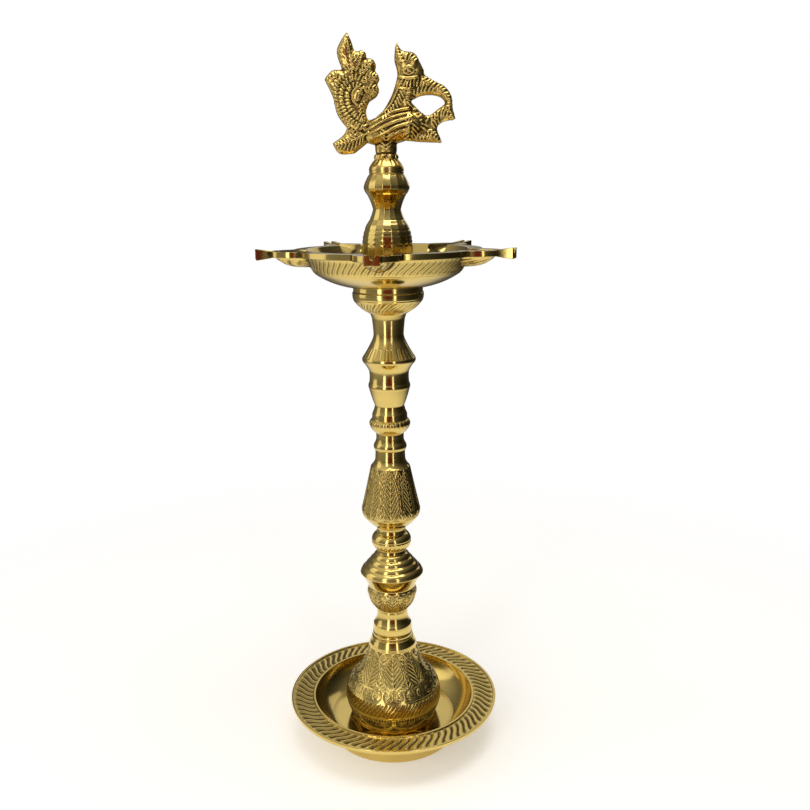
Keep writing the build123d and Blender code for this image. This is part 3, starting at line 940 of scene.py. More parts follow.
@dataclass
class BirdFinial:
    """The cast bird: forms joined into one skin, with carved strokes laid on both sides."""

    members: tuple[Member, ...]
    reliefs: tuple[Relief, ...]
    seat: float
    form_voxel: float = 0.6
    skin_voxel: float = 0.385
    body_centre: Point = (5.0, 15.5)
    body_half: Triple = (20.0, 9.2, 9.2)
    body_tilt: float = 14.0
    thin_edge: float = 0.36
    lumps: int = 8
    lump_circle: float = 5.6
    clear_of_bird: float = 30.0

    def place(self, x: float, y: float, z: float) -> Vector:
        """Return a place, given in mm above the seat, in metres."""
        return Vector((x, y, z + self.seat)) * MM

    def add_member(self, forms: Shape, member: Member) -> None:
        """Add one member to the forms, as a pillow-shaped slab."""
        loop = member.loop()
        piece = self.slab(loop, member.half_depth)
        remesh(piece, self.form_voxel)
        points, _ = read_points(piece.data)
        flat = np.column_stack([points[:, 0], points[:, 2] - self.seat])
        away = np.clip(edge_distance(flat, loop) / member.rounding, 0.0, 1.0)
        swell = np.sqrt(1.0 - (1.0 - away) ** 2)
        points[:, 1] *= self.thin_edge + (1.0 - self.thin_edge) * swell
        write_points(piece.data, points)
        forms.from_mesh(piece.data)
        bpy.data.objects.remove(piece)

    def slab(self, loop: Array, half_depth: float) -> Piece:
        """Return an outline extruded to both sides of the bird's middle plane."""
        shape = bmesh.new()
        corners = [shape.verts.new(self.place(x, -half_depth, z)) for x, z in loop]
        face = shape.faces.new(corners)
        raised = bmesh.ops.extrude_face_region(shape, geom=[face])["geom"]
        moved = [item for item in raised if isinstance(item, bmesh.types.BMVert)]
        bmesh.ops.translate(shape, verts=moved, vec=(0.0, 2.0 * half_depth * MM, 0.0))
        bmesh.ops.triangulate(shape, faces=shape.faces[:])
        bmesh.ops.recalc_face_normals(shape, faces=shape.faces[:])
        return make_piece("member", shape)

    def add_round_forms(self, forms: Shape) -> None:
        """Add the body, the legs, the lumps at their foot, the eyes and the tail's bosses."""
        x, z = self.body_centre
        self.add_ball(forms, (x, 0.0, z), self.body_half, math.radians(-self.body_tilt))
        self.add_ball(forms, (0.0, 0.0, 4.5), (6.6, 5.2, 10.5))
        self.add_ball(forms, (0.3, 0.0, 11.5), (7.6, 6.0, 5.0))
        for lump in range(self.lumps):
            angle = (2.0 * lump + 1.0) * math.pi / self.lumps
            across, back = self.lump_circle * math.cos(angle), self.lump_circle * math.sin(angle)
            self.add_ball(forms, (across, back, -1.4), (2.3, 2.3, 2.1))
        for side in (-1.0, 1.0):
            self.add_ball(forms, (-16.6, side * 3.6, 33.4), (3.0, 2.2, 4.2), 0.5)
            self.add_ball(forms, (14.0, side * 4.6, 47.1), (1.7, 1.5, 1.1), 0.15)
            self.add_ball(forms, (13.8, side * 3.2, 49.6), (6.0, 2.6, 6.0))

    def add_ball(self, forms: Shape, centre: Triple, half: Triple, tilt: float = 0.0) -> None:
        """Add an egg-shaped form, tilted about Y, with its centre in mm above the seat."""
        size = Matrix.Diagonal((*(length * MM for length in half), 1.0))
        matrix = Matrix.Translation(self.place(*centre)) @ Matrix.Rotation(tilt, 4, "Y") @ size
        bmesh.ops.create_icosphere(forms, subdivisions=4, radius=1.0, matrix=matrix)

    def strokes(self, relief: Relief) -> list[tuple[Array, Array]]:
        """Return a relief's strokes as flat lines with a thickness at each point."""
        line = smooth_path(relief.path, 0.5)
        run = np.gradient(line, axis=0)
        run /= np.maximum(np.hypot(*run.T), 1e-9)[:, None]
        length = np.concatenate([[0.0], np.cumsum(np.hypot(*np.diff(line, axis=0).T))])
        marks = np.linspace(0.0, 1.0, len(relief.widths))
        width = np.interp(length / length[-1], marks, relief.widths)
        if relief.stroke is Stroke.RIDGE:
            return [(line[::2], width[::2])]
        made = []
        slant = math.radians(relief.slant)
        for at in np.arange(relief.pitch * 0.5, length[-1], relief.pitch):
            k = int(np.searchsorted(length, at))
            normal = np.array([-run[k][1], run[k][0]])
            reach = float(width[k])
            sides = (-1.0, 1.0) if relief.stroke is Stroke.VEINS else (0.0,)
            for side in sides:
                way = np.linspace(0.12, 1.0, 5) if side else np.linspace(-1.0, 1.0, 6)
                across = way * (side or 1.0)
                ahead = np.abs(way) / math.tan(slant) if side else way / math.tan(slant)
                points = line[k] + reach * (across[:, None] * normal + ahead[:, None] * run[k])
                taper = 1.0 - 0.45 * np.abs(way) ** 3
                made.append((points, relief.thick * taper))
        return made

    def lay(self, tree: BVHTree, points: Array, thick: Array) -> list[tuple[Vector, float]]:
        """Return where a stroke's points meet the forms' near side, and their thickness."""
        laid = []
        for (x, z), size in zip(points, thick):
            start = self.place(x, -self.clear_of_bird, z)
            hit = tree.ray_cast(start, Vector((0.0, 1.0, 0.0)))[0]
            if hit is not None:
                laid.append((hit, size * MM))
        return laid

    def carve_strokes(self, forms: Shape) -> Piece:
        """Return every stroke as a tube laid on the forms, on both sides."""
        tree = BVHTree.FromBMesh(forms)
        curve = bpy.data.curves.new("strokes", "CURVE")
        curve.dimensions = "3D"
        curve.bevel_depth = 1.0
        curve.bevel_resolution = 2
        curve.use_fill_caps = True
        for points, thick in (stroke for relief in self.reliefs for stroke in self.strokes(relief)):
            laid = self.lay(tree, points, thick)
            if len(laid) < 3:
                continue
            for side in (-1.0, 1.0):
                spline = curve.splines.new("POLY")
                spline.points.add(len(laid) - 1)
                for point, (hit, size) in zip(spline.points, laid):
                    point.co = (hit.x, -side * hit.y, hit.z, 1.0)
                    point.radius = size
        tubes = bpy.data.objects.new("strokes", curve)
        bpy.context.scene.collection.objects.link(tubes)
        return tubes

    def build(self, finish: "Finish") -> Piece:
        """Make, carve and dress the bird."""
        forms = bmesh.new()
        self.add_round_forms(forms)
        for member in self.members:
            self.add_member(forms, member)
        tubes = self.carve_strokes(forms)
        depsgraph = bpy.context.evaluated_depsgraph_get()
        forms.from_mesh(bpy.data.meshes.new_from_object(tubes.evaluated_get(depsgraph)))
        bpy.data.objects.remove(tubes)
        piece = make_piece("bird_cast", forms)
        remesh(piece, self.skin_voxel)
        axes = {f"use_axis_{axis}": True for axis in "xyz"}
        with edited(piece.data) as shape:
            bmesh.ops.smooth_vert(shape, verts=shape.verts[:], factor=0.45, **axes)
        piece.data.shade_smooth()
        write_hollows(piece.data, measure_hollows(piece.data, 16, 0.15))
        settle(piece, "bird_finial_body", "bird_finial", finish)
        return piece


# ---------------------------------------------------------------- finishes


def wire(tree: Tree, node: Node, inputs: Inputs) -> Node:
    """Give a node's inputs their numbers, their colours or other nodes' sockets."""
    for name, given in inputs.items():
        if isinstance(given, Socket):
            tree.links.new(given, node.inputs[name])
        else:
            value = (*given, 1.0) if isinstance(given, tuple) else given
            node.inputs[name].default_value = value
    return node


def add_node(tree: Tree, kind: str, inputs: Inputs | None = None, **settings: object) -> Node:
    """Add a shader node.

    Args:
        tree: the tree that it joins.
        kind: the node's type, without its first word.
        inputs: what its inputs are given.
        settings: its own settings.

    Returns:
        The node.
    """
    node = tree.nodes.new(f"ShaderNode{kind}")
    for name, value in settings.items():
        setattr(node, name, value)
    return wire(tree, node, inputs or {})


def calc(tree: Tree, operation: str, first: object, second: object = 0.5) -> Socket:
    """Add a Math node of two sockets or numbers and return its output."""
    return add_node(tree, "Math", {0: first, 1: second}, operation=operation).outputs[0]


def noise(tree: Tree, vector: Socket, scale: float, detail: float = 3.0) -> Socket:
    """Add a Noise Texture and return its factor."""
    inputs = {"Vector": vector, "Scale": scale, "Detail": detail}
    return add_node(tree, "TexNoise", inputs).outputs[0]


def mix(tree: Tree, factor: Socket, first: object, second: object) -> Socket:
    """Mix two colours or colour sockets by a factor."""
    inputs = {0: factor, 6: first, 7: second}
    return add_node(tree, "Mix", inputs, data_type="RGBA").outputs[2]


def bump(tree: Tree, height: Socket, distance: float, under: Socket | None = None) -> Socket:
    """Add a Bump node of a distance in mm, over another where there is one."""
    inputs = {"Strength": 1.0, "Distance": distance * MM, "Height": height}
    return add_node(tree, "Bump", inputs | ({"Normal": under} if under else {})).outputs[0]


def start_group(
    name: str, inputs: dict[str, float], output: str
) -> tuple[Tree, list[Socket], Node]:
    """Start a node group.

    Args:
        name: the group's name.
        inputs: its float inputs with their default values.
        output: its one float output's name.

    Returns:
        The group, its inputs' sockets and its output node.
    """
    group = bpy.data.node_groups.new(name, "ShaderNodeTree")
    for label, value in inputs.items():
        socket = group.interface.new_socket(label, in_out="INPUT", socket_type="NodeSocketFloat")
        socket.default_value = value
    group.interface.new_socket(output, in_out="OUTPUT", socket_type="NodeSocketFloat")
    given = group.nodes.new("NodeGroupInput")
    return group, list(given.outputs), group.nodes.new("NodeGroupOutput")


def place_group(tree: Tree, name: str, inputs: Inputs) -> Socket:
    """Place a shared node group and return its output."""
    group = bpy.data.node_groups[name]
    return add_node(tree, "Group", inputs, node_tree=group).outputs[0]


def make_turning_marks() -> None:
    """Make the group of fine rings that a lathe and buffing wheel leave."""
    group, given, made = start_group("turning_marks", {"Rings per metre": 900.0}, "Height")
    place = add_node(group, "TexCoord").outputs["Object"]
    x, y, z = add_node(group, "SeparateXYZ", {0: place}).outputs
    squares = calc(group, "ADD", calc(group, "MULTIPLY", x, x), calc(group, "MULTIPLY", y, y))
    turned = add_node(group, "CombineXYZ", {0: calc(group, "SQRT", squares), 2: z}).outputs[0]
    inputs = {"Detail": 4.0, "Roughness": 0.7, "Vector": turned, "Scale": given[0]}
    wire(group, made, {0: add_node(group, "TexNoise", inputs).outputs[0]})


def make_tarnish() -> None:
    """Make the group that turns the hollows and old handling into a mask of dark tarnish."""
    inputs = {"Hollow": 0.0, "Amount": 1.0, "Bloom": 0.15}
    group, (deep, amount, spread, *_), made = start_group("tarnish", inputs, "Mask")
    place = add_node(group, "TexCoord").outputs["Object"]
    patch = calc(group, "ADD", noise(group, place, 420.0), 0.35)
    hollow = calc(group, "MULTIPLY", calc(group, "MULTIPLY", deep, patch), amount)
    cloud = calc(group, "SUBTRACT", noise(group, place, 38.0), 0.45)
    bloom = calc(group, "MULTIPLY", calc(group, "MAXIMUM", cloud, 0.0), spread)
    total = add_node(group, "Clamp", {0: calc(group, "ADD", hollow, bloom)})
    wire(group, made, {0: total.outputs[0]})


def make_smears() -> None:
    """Make the group of roughness left by buffing and fingers."""
    inputs = {"Polish": 0.1, "Spread": 0.1, "Tarnish": 0.0}
    group, (polish, spread, tarnish, *_), made = start_group("smears", inputs, "Roughness")
    place = add_node(group, "TexCoord").outputs["Object"]
    smear = calc(group, "MULTIPLY", noise(group, place, 55.0, 6.0), spread)
    dull = calc(group, "MULTIPLY", tarnish, 0.35)
    wire(group, made, {0: calc(group, "ADD", calc(group, "ADD", polish, smear), dull)})


@dataclass(frozen=True)
class Finish:
    """One finish of the lamp: colours, polish and how its surface is worked."""

    name: str
    pale: Triple
    deep: Triple
    dark: Triple
    polish: float = 0.09
    spread: float = 0.08
    tarnish: float = 1.0
    bloom: float = 0.2
    rings: float = 900.0
    ring_relief: float = 0.02
    grain: float = 0.0
    metallic: float = 1.0

    def material(self) -> bpy.types.Material:
        """Return the material of this finish, made the first time."""
        known = bpy.data.materials.get(self.name)
        if known is not None:
            return known
        material = bpy.data.materials.new(self.name)
        material.use_nodes = True
        tree = material.node_tree
        place = add_node(tree, "TexCoord").outputs["Object"]
        hollow = add_node(tree, "Attribute", attribute_name=HOLLOW).outputs["Fac"]
        aging = {"Amount": self.tarnish, "Bloom": self.bloom, "Hollow": hollow}
        stain = place_group(tree, "tarnish", aging)
        tone = mix(tree, noise(tree, place, 26.0, 2.0), self.pale, self.deep)
        wear = {"Polish": self.polish, "Spread": self.spread, "Tarnish": stain}
        marks = place_group(tree, "turning_marks", {0: self.rings})
        normal = bump(tree, marks, self.ring_relief)
        if self.grain > 0.0:
            normal = bump(tree, noise(tree, place, 900.0, 5.0), self.grain, normal)
        inputs = {
            "Metallic": self.metallic,
            "Base Color": mix(tree, stain, tone, self.dark),
            "Roughness": place_group(tree, "smears", wear),
            "Normal": normal,
        }
        wire(tree, next(node for node in tree.nodes if node.type == "BSDF_PRINCIPLED"), inputs)
        return material


POLISHED_BRASS = Finish(
    "polished_brass_turned", (0.76, 0.585, 0.20), (0.65, 0.475, 0.135), (0.075, 0.05, 0.014),
    tarnish=1.3,
)
CAST_BRASS = Finish(
    "cast_brass_chased", (0.80, 0.60, 0.20), (0.68, 0.48, 0.13), (0.06, 0.038, 0.010),
    polish=0.15, spread=0.12, tarnish=1.6, bloom=0.5, ring_relief=0.0, grain=0.05,
)
STUD_BRASS = Finish(
    "stud_brass_threaded", (0.74, 0.55, 0.25), (0.62, 0.45, 0.18), (0.12, 0.08, 0.03),
    polish=0.26, spread=0.15,
)
PLATED_STEEL = Finish(
    "plated_steel_zinc", (0.62, 0.62, 0.60), (0.50, 0.51, 0.52), (0.12, 0.11, 0.10),
    polish=0.3, spread=0.2, bloom=0.6, grain=0.03,
)
SEAL_RUBBER = Finish(
    "seal_rubber_black", (0.025, 0.025, 0.026), (0.04, 0.039, 0.037), (0.01, 0.01, 0.01),
    polish=0.6, spread=0.2, grain=0.06, metallic=0.0,
)


# ---------------------------------------------------------------- the lamp's own sizes


def make_bell() -> Bell:
    """Return the bell with its bands of petals, rope, curls and lancet leaves."""
    proud = {"stain": 0.5, "proud": True}
    return Bell(
        "bell_pedestal", "base", 27.5,
        mouldings(
            (17.0, 32.5, 1.6), (12.0, 27.5, 1.1), (19.0, 17.0, -1.4), (5.6, 15.8, -0.1),
            (4.4, 13.9, -0.1), (0.6, 13.2), (2.4, 13.2, 0.25),
        ),
        (
            Band(0.6, 11.8, Petals(8, 0.75, line=0.5), stain=0.8, proud=True),
            Band(11.8, 13.0, Rings(1, 0.4)),
            Band(12.6, 22.8, RopeLobes(36, 0.8, slant=1.3, curl=0.3, vein=0.8), stain=0.6),
            Band(22.6, 24.2, Rings(1, 0.4, at=(0.25, 0.8))),
            Band(24.2, 29.4, Scrolls(24, 0.6, line=0.42), **proud),
            Band(29.0, 30.2, Rings(1, 0.35)),
            Band(29.8, 51.0, Lancets(8, 0.7, phase=0.5, line=0.5, vein_pitch=2.8), **proud),
            Band(57.6, 59.4, Rings(1, 0.45, line=0.4)),
        ),
        steps=376,
        fine=0.4,
    )


def turned_sections() -> list[TurnedSection]:
    """Return the turned sections from the bell up to the bird's seat."""
    lower_leaves = Lancets(10, 0.6, line=0.44, vein_pitch=2.6, belly=1.25)
    ridges = [(3.3, 20.6 - 2.75 * step, 0.45) for step in range(1, 5)]
    lower = TurnedSection(
        "lower_stem", "lower_stem_body", 12.8,
        mouldings(
            (6.6, 12.8, 0.3), (8.6, 10.3, -0.9), (2.0, 10.0), (10.2, 16.2, 1.1),
            (5.6, 15.8, 0.6), (1.0, 15.5), (9.0, 20.6, -0.4), (1.5, 20.6, 0.4), *ridges,
            (2.2, 9.2), (11.8, 9.7, 3.7), (2.3, 9.4),
        ),
        (
            Band(18.4, 32.6, lower_leaves, stain=0.5, proud=True),
            Band(60.6, 66.2, RopeLobes(26, 0.5, slant=0.7, curl=0.3)),
            Band(66.0, 67.2, Rings(1, 0.3)),
        ),
    )
    leaves = Lancets(8, 0.65, phase=0.5, line=0.46, vein_pitch=3.6, vein_rise=1.8)
    baluster = TurnedSection(
        "baluster", "baluster_body", 9.4,
        mouldings(
            (1.4, 9.4), (9.1, 18.6, 0.7), (4.3, 19.2, 0.3), (28.5, 12.8, -0.1),
            (4.2, 9.9, -0.3), (7.0, 9.6, -0.1),
        ),
        (Band(10.0, 43.4, leaves, stain=0.5, proud=True),),
        steps=320,
    )
    upper = TurnedSection(
        "upper_stem", "upper_stem_body", 9.9,
        mouldings(
            (4.2, 10.1, 0.7), (3.0, 8.9, -0.2), (4.0, 8.9), (5.0, 12.9, 0.5), (4.3, 11.4, 0.9),
            (3.5, 11.2), (5.4, 9.4, -0.2), (11.2, 13.0, 0.2), (3.6, 12.8, 0.5),
            (7.6, 12.7, -0.3), (6.0, 16.6, -0.3), (2.6, 16.8, 0.3), (10.2, 10.9, -0.2),
            (4.4, 9.5, -0.2), (10.2, 10.4, -0.1), (3.0, 11.4), (8.8, 21.9, 1.0),
            (5.0, 22.3, 0.15),
        ),
        (
            Band(16.0, 20.4, Flutes(26, 0.3)),
            Band(60.6, 67.0, Flutes(24, 0.22)),
            Band(88.6, 96.6, RopeLobes(22, 0.7, slant=1.3, curl=0.4, vein=0.7), stain=0.6),
            Band(96.6, 98.0, Rings(1, 0.3)),
            Band(100.9, 102.4, Rings(1, 0.4, at=(0.7,))),
        ),
    )
    post = TurnedSection(
        "finial_post", "finial_post_body", 15.6,
        mouldings(
            (22.2, 15.4), (12.0, 12.6, 0.7), (9.0, 8.5, -0.5), (8.6, 11.8, -0.3),
            (3.4, 13.8, 0.2), (2.6, 13.6, 0.2), (6.0, 10.6, 0.2),
        ),
        (
            Band(0.4, 63.6, Facets(18, 1.15), 0.1),
            Band(21.6, 32.0, Rings(1, 0.4, at=(0.08, 0.36, 0.62, 0.9), line=0.35)),
            Band(36.2, 38.0, Rings(1, 0.35)),
        ),
        upper_bore=(3.05, 9.0),
        steps=360,
        fine=0.5,
    )
    return [make_bell(), lower, baluster, upper, post]


def bird_members() -> tuple[Member, ...]:
    """Return the bird's tail, lower leaf, neck, beak ring and breast, in mm above the seat."""
    tail = Member(4.4, (
        ((-11.5, 24), (-9.6, 30.4)), ((-5, 33.4), (-3.5, 37.2)), ((-4.8, 40.2),),
        ((-3.3, 42.6), (-3.9, 45.2)), ((-6, 47.2),), ((-5.2, 50.4), (-6.6, 53.4), (-8.6, 54.4)),
        ((-11, 54.2),), ((-10.9, 57), (-13.2, 58.8), (-16, 58.2)), ((-17.9, 58.8),),
        ((-19.4, 64), (-22, 69)), ((-28, 59), (-25, 48)), ((-31, 48), (-35.7, 43)),
        ((-31, 33), (-28, 22), (-18, 10)), ((-8, 14),),
    ))
    leaf = Member(3.9, (
        ((-13, 5.5), (-19, 1)), ((-28, 1), (-32, 7)), ((-25, 12), (-22, 19)), ((-12, 20),),
        ((-5, 12),),
    ))
    neck = Member(5.2, (
        ((-7, 20.8), (-2.6, 23.8), (1.6, 29.8), (4.8, 36.4), (7.2, 45.6), (5.5, 54), (6.8, 63.4)),
        ((10, 58.5), (17, 57), (21, 51)), ((23, 47),), ((18, 39), (15.3, 30)), ((17, 22),),
        ((10, 12),), ((-12, 19.5),),
    ), rounding=6.0)
    beak = Member(3.2, (
        ((21.4, 49), (23.4, 44.6)),
        ((28.5, 41.6), (35, 38.4), (39, 33), (39.9, 26), (41.6, 20)),
        ((34, 18.5),), ((31, 24), (35.4, 29)),
        ((33.2, 32), (28, 33.6), (21, 33.2), (15, 30.6)), ((12, 40), (17, 54)),
    ), rounding=3.6)
    breast = Member(3.6, (
        ((18, 27), (25, 22), (33.5, 27), (38, 22)), ((34, 18.5),), ((30.5, 15), (33.6, 6.6)),
        ((22, 7), (12, 8)), ((6, 20), (12, 34)),
    ), rounding=4.2)
    return tail, leaf, neck, beak, breast


def bird_reliefs() -> tuple[Relief, ...]:
    """Return the bird's carved strokes, in mm above the seat."""
    veins, rope, ridge = Stroke.VEINS, Stroke.ROPE, Stroke.RIDGE
    fronds = (
        ((-18, 46.5), (-15.8, 52.6), (-13.2, 57)),
        ((-15.2, 44.6), (-11, 49.6), (-7.4, 52.4)),
        ((-14.4, 40.6), (-9.6, 43.6), (-5, 44.2)),
    )
    curls = (
        (((-12, 42), (-17, 44), (-23, 41), (-26, 35), (-25, 27), (-20, 19), (-12, 15)),
         (1.3, 1.4, 1.4, 1.2)),
        (((-22, 46), (-27, 42), (-29.6, 35), (-28.2, 26), (-23.5, 17), (-17, 11.5)),
         (1.4, 1.5, 1.4, 1.1)),
        (((-12, 37), (-17, 39.6), (-21.5, 37), (-22.4, 31.5), (-20.5, 25.5), (-15, 20.5), (-9, 18)),
         (1.2, 1.3, 1.3, 1.1)),
    )
    feathers = (
        ((14, 26), (6, 24.5), (-4, 20.5), (-14, 15.5)),
        ((15, 23.5), (6, 21.6), (-4, 17.8), (-13, 13.4)),
        ((15.5, 21), (6, 18.6), (-3, 15), (-11, 11.4)),
        ((15.5, 18), (7, 15.6), (-1, 12), (-8, 9.6)),
    )
    return (
        # upper tail leaf and the fronds down the tail's right side
        Relief(veins, ((-20, 46.5), (-20, 52), (-21, 60), (-22.2, 67.5)), (3.6, 4.6, 3.6, 0.9),
               2.0, 40),
        Relief(ridge, ((-19, 46.5), (-19.6, 52), (-20.8, 60), (-22, 67)), (0.8, 0.75, 0.5)),
        Relief(rope, ((-24.4, 49), (-25.4, 55), (-24.8, 60.5), (-23.2, 65)),
               (1.4, 2.2, 1.9, 0.8), 2.0, 40),
        *(Relief(veins, path, (1.5, 2.3, 1.6), 2.1, 36) for path in fronds),
        Relief(veins, ((-13.2, 36), (-9, 37.2), (-5, 37.2)), (1.4, 2.2, 1.6), 2.1, 36),
        Relief(veins, ((-14, 30), (-11.6, 30), (-8, 32)), (1.6, 2.0, 1.0), 1.9, 42),
        # left leaf and the roped curls round the boss
        Relief(veins, ((-25, 42), (-29, 44.2), (-34.6, 43.4)), (2.6, 3.4, 1.2), 2.0),
        *(Relief(rope, path, widths, 2.0, 76, 0.66) for path, widths in curls),
        Relief(ridge, ((-13.4, 34), (-15, 38), (-18.6, 36), (-19, 31), (-16, 28)), (0.8, 0.9, 0.6)),
        Relief(veins, ((-14.4, 30), (-13.6, 25), (-12.6, 20)), (1.4, 2.2, 1.8), 2.0, 44),
        # lower leaf
        Relief(veins, ((-12, 12), (-20, 8), (-30, 6)), (3.0, 5.4, 1.8), 2.2, 52),
        Relief(ridge, ((-10, 13), (-20, 8), (-31, 6.2)), (0.8, 0.8, 0.4)),
        # wing feathers and flank
        *(Relief(ridge, path, (0.9, 0.9, 0.6)) for path in feathers),
        Relief(ridge, ((14, 14.6), (8, 12.6), (2, 9.8)), (0.8, 0.8, 0.5)),
        Relief(veins, ((13, 24), (15, 17), (14, 8.5)), (3.0, 4.6, 3.4), 2.3, 44, 0.7),
        Relief(veins, ((16, 9.6), (21, 9), (28, 9.4)), (1.4, 1.8, 1.2), 2.2, 44),
        Relief(rope, ((17, 31), (19.6, 25), (21.4, 20)), (2.2, 2.8, 2.4), 2.4, 66, 0.85),
        Relief(ridge, ((-5, 21.4), (1.8, 27), (6, 34), (8.6, 40)), (0.6, 0.8, 0.8, 0.6)),
        # neck, collars, face, crest and beak
        Relief(rope, ((-3, 20.4), (3.4, 25), (8.4, 31.4), (11, 37)), (1.2, 1.5, 1.9, 1.8),
               2.2, 60, 0.7),
        Relief(rope, ((13, 36), (15, 31.4), (14.4, 26.8)), (2.2, 2.8, 2.4), 2.4, 66, 0.85),
        Relief(ridge, ((7.4, 43.8), (13, 42.8), (20, 43.6)), (0.7, 0.9, 0.7)),
        Relief(ridge, ((8.4, 37.4), (13, 36.6), (17.4, 37.4)), (0.6, 0.8, 0.6)),
        Relief(rope, ((8.2, 40.6), (13, 39.6), (19, 40.4), (25, 40)), (1.9, 2.0, 2.2, 1.8),
               1.95, 74, 0.66),
        Relief(ridge, ((10.4, 46.8), (13.6, 49), (17.4, 48)), (0.6, 0.75, 0.4)),
        Relief(ridge, ((10.6, 46.2), (14, 45.2), (17.6, 46.6)), (0.5, 0.6, 0.4)),
        Relief(veins, ((12.6, 51), (9.4, 55.6), (7.3, 61.6)), (3.4, 3.0, 0.9), 1.9, 40, 0.64),
        Relief(rope, ((11.6, 55.4), (15.6, 55), (19.6, 51.6)), (1.8, 2.0, 1.6), 2.1, 76, 0.8),
        Relief(rope, ((22.4, 43.4), (28, 40), (33.6, 37), (37, 32.6), (37.8, 28), (38, 23)),
               (2.2, 2.6, 2.8, 2.4), 2.15, 66, 0.74),
        Relief(rope, ((16, 35), (22, 36.4), (29, 36)), (1.6, 1.9, 1.2), 2.15, 66, 0.7),
        # lower vine, its end leaf and the leaf under the breast
        Relief(rope, ((19, 25), (25, 20), (32, 23.5), (37, 24)), (2.0, 2.4, 2.4), 2.2, 66, 0.7),
        Relief(rope, ((31.5, 21), (29.4, 18.2), (28, 15.6)), (2.2, 2.2, 1.4), 2.1, 66, 0.7),
        Relief(rope, ((21, 22), (22.8, 17.6), (22.4, 13.4)), (1.6, 2.2, 1.6), 2.1, 60, 0.7),
        Relief(veins, ((36.6, 22.6), (38.6, 21), (41.2, 20)), (1.6, 1.6, 0.8), 1.9, 40),
        Relief(veins, ((24, 14), (29, 10.4), (33.4, 7)), (2.0, 2.4, 1.2), 2.2, 40),
        # legs
        Relief(veins, ((0, 1.5), (0, 6), (0.4, 12)), (3.4, 3.6, 4.2), 2.2, 50),
    )


@dataclass
class BirdSeat:
    """The turned seat at the foot of the bird's casting, with its threaded bore."""

    foot_radius: float = 10.2
    rises: tuple[Moulding, ...] = mouldings((4.4, 10.2, 0.4), (4.2, 7.0, 0.2), (2.6, 6.9))
    bore: Point = (3.05, 9.0)
    steps: int = 192

    def build(self, finish: "Finish") -> Piece:
        """Make, engrave and dress the seat."""
        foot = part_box("bird_finial")[0].z / MM
        radius, depth = self.bore
        points = [(0.0, foot + depth), (radius, foot + depth), (radius, foot)]
        points.append((self.foot_radius, foot))
        for moulding in self.rises:
            end = (moulding.radius, points[-1][1] + moulding.rise)
            points += arc_points(points[-1], end, moulding.bulge, 0.4)
        points.append((0.0, points[-1][1]))
        piece = turn_piece("bird_seat_turned", points, 0.3, self.steps)
        lobes = RopeLobes(16, 0.5, slant=0.0)
        engrave(piece, foot, (Band(1.2, 2.4, Rings(1, 0.3)), Band(4.6, 9.6, lobes)))
        settle(piece, "bird_finial_body", "bird_finial", finish)
        return piece


# ---------------------------------------------------------------- studio


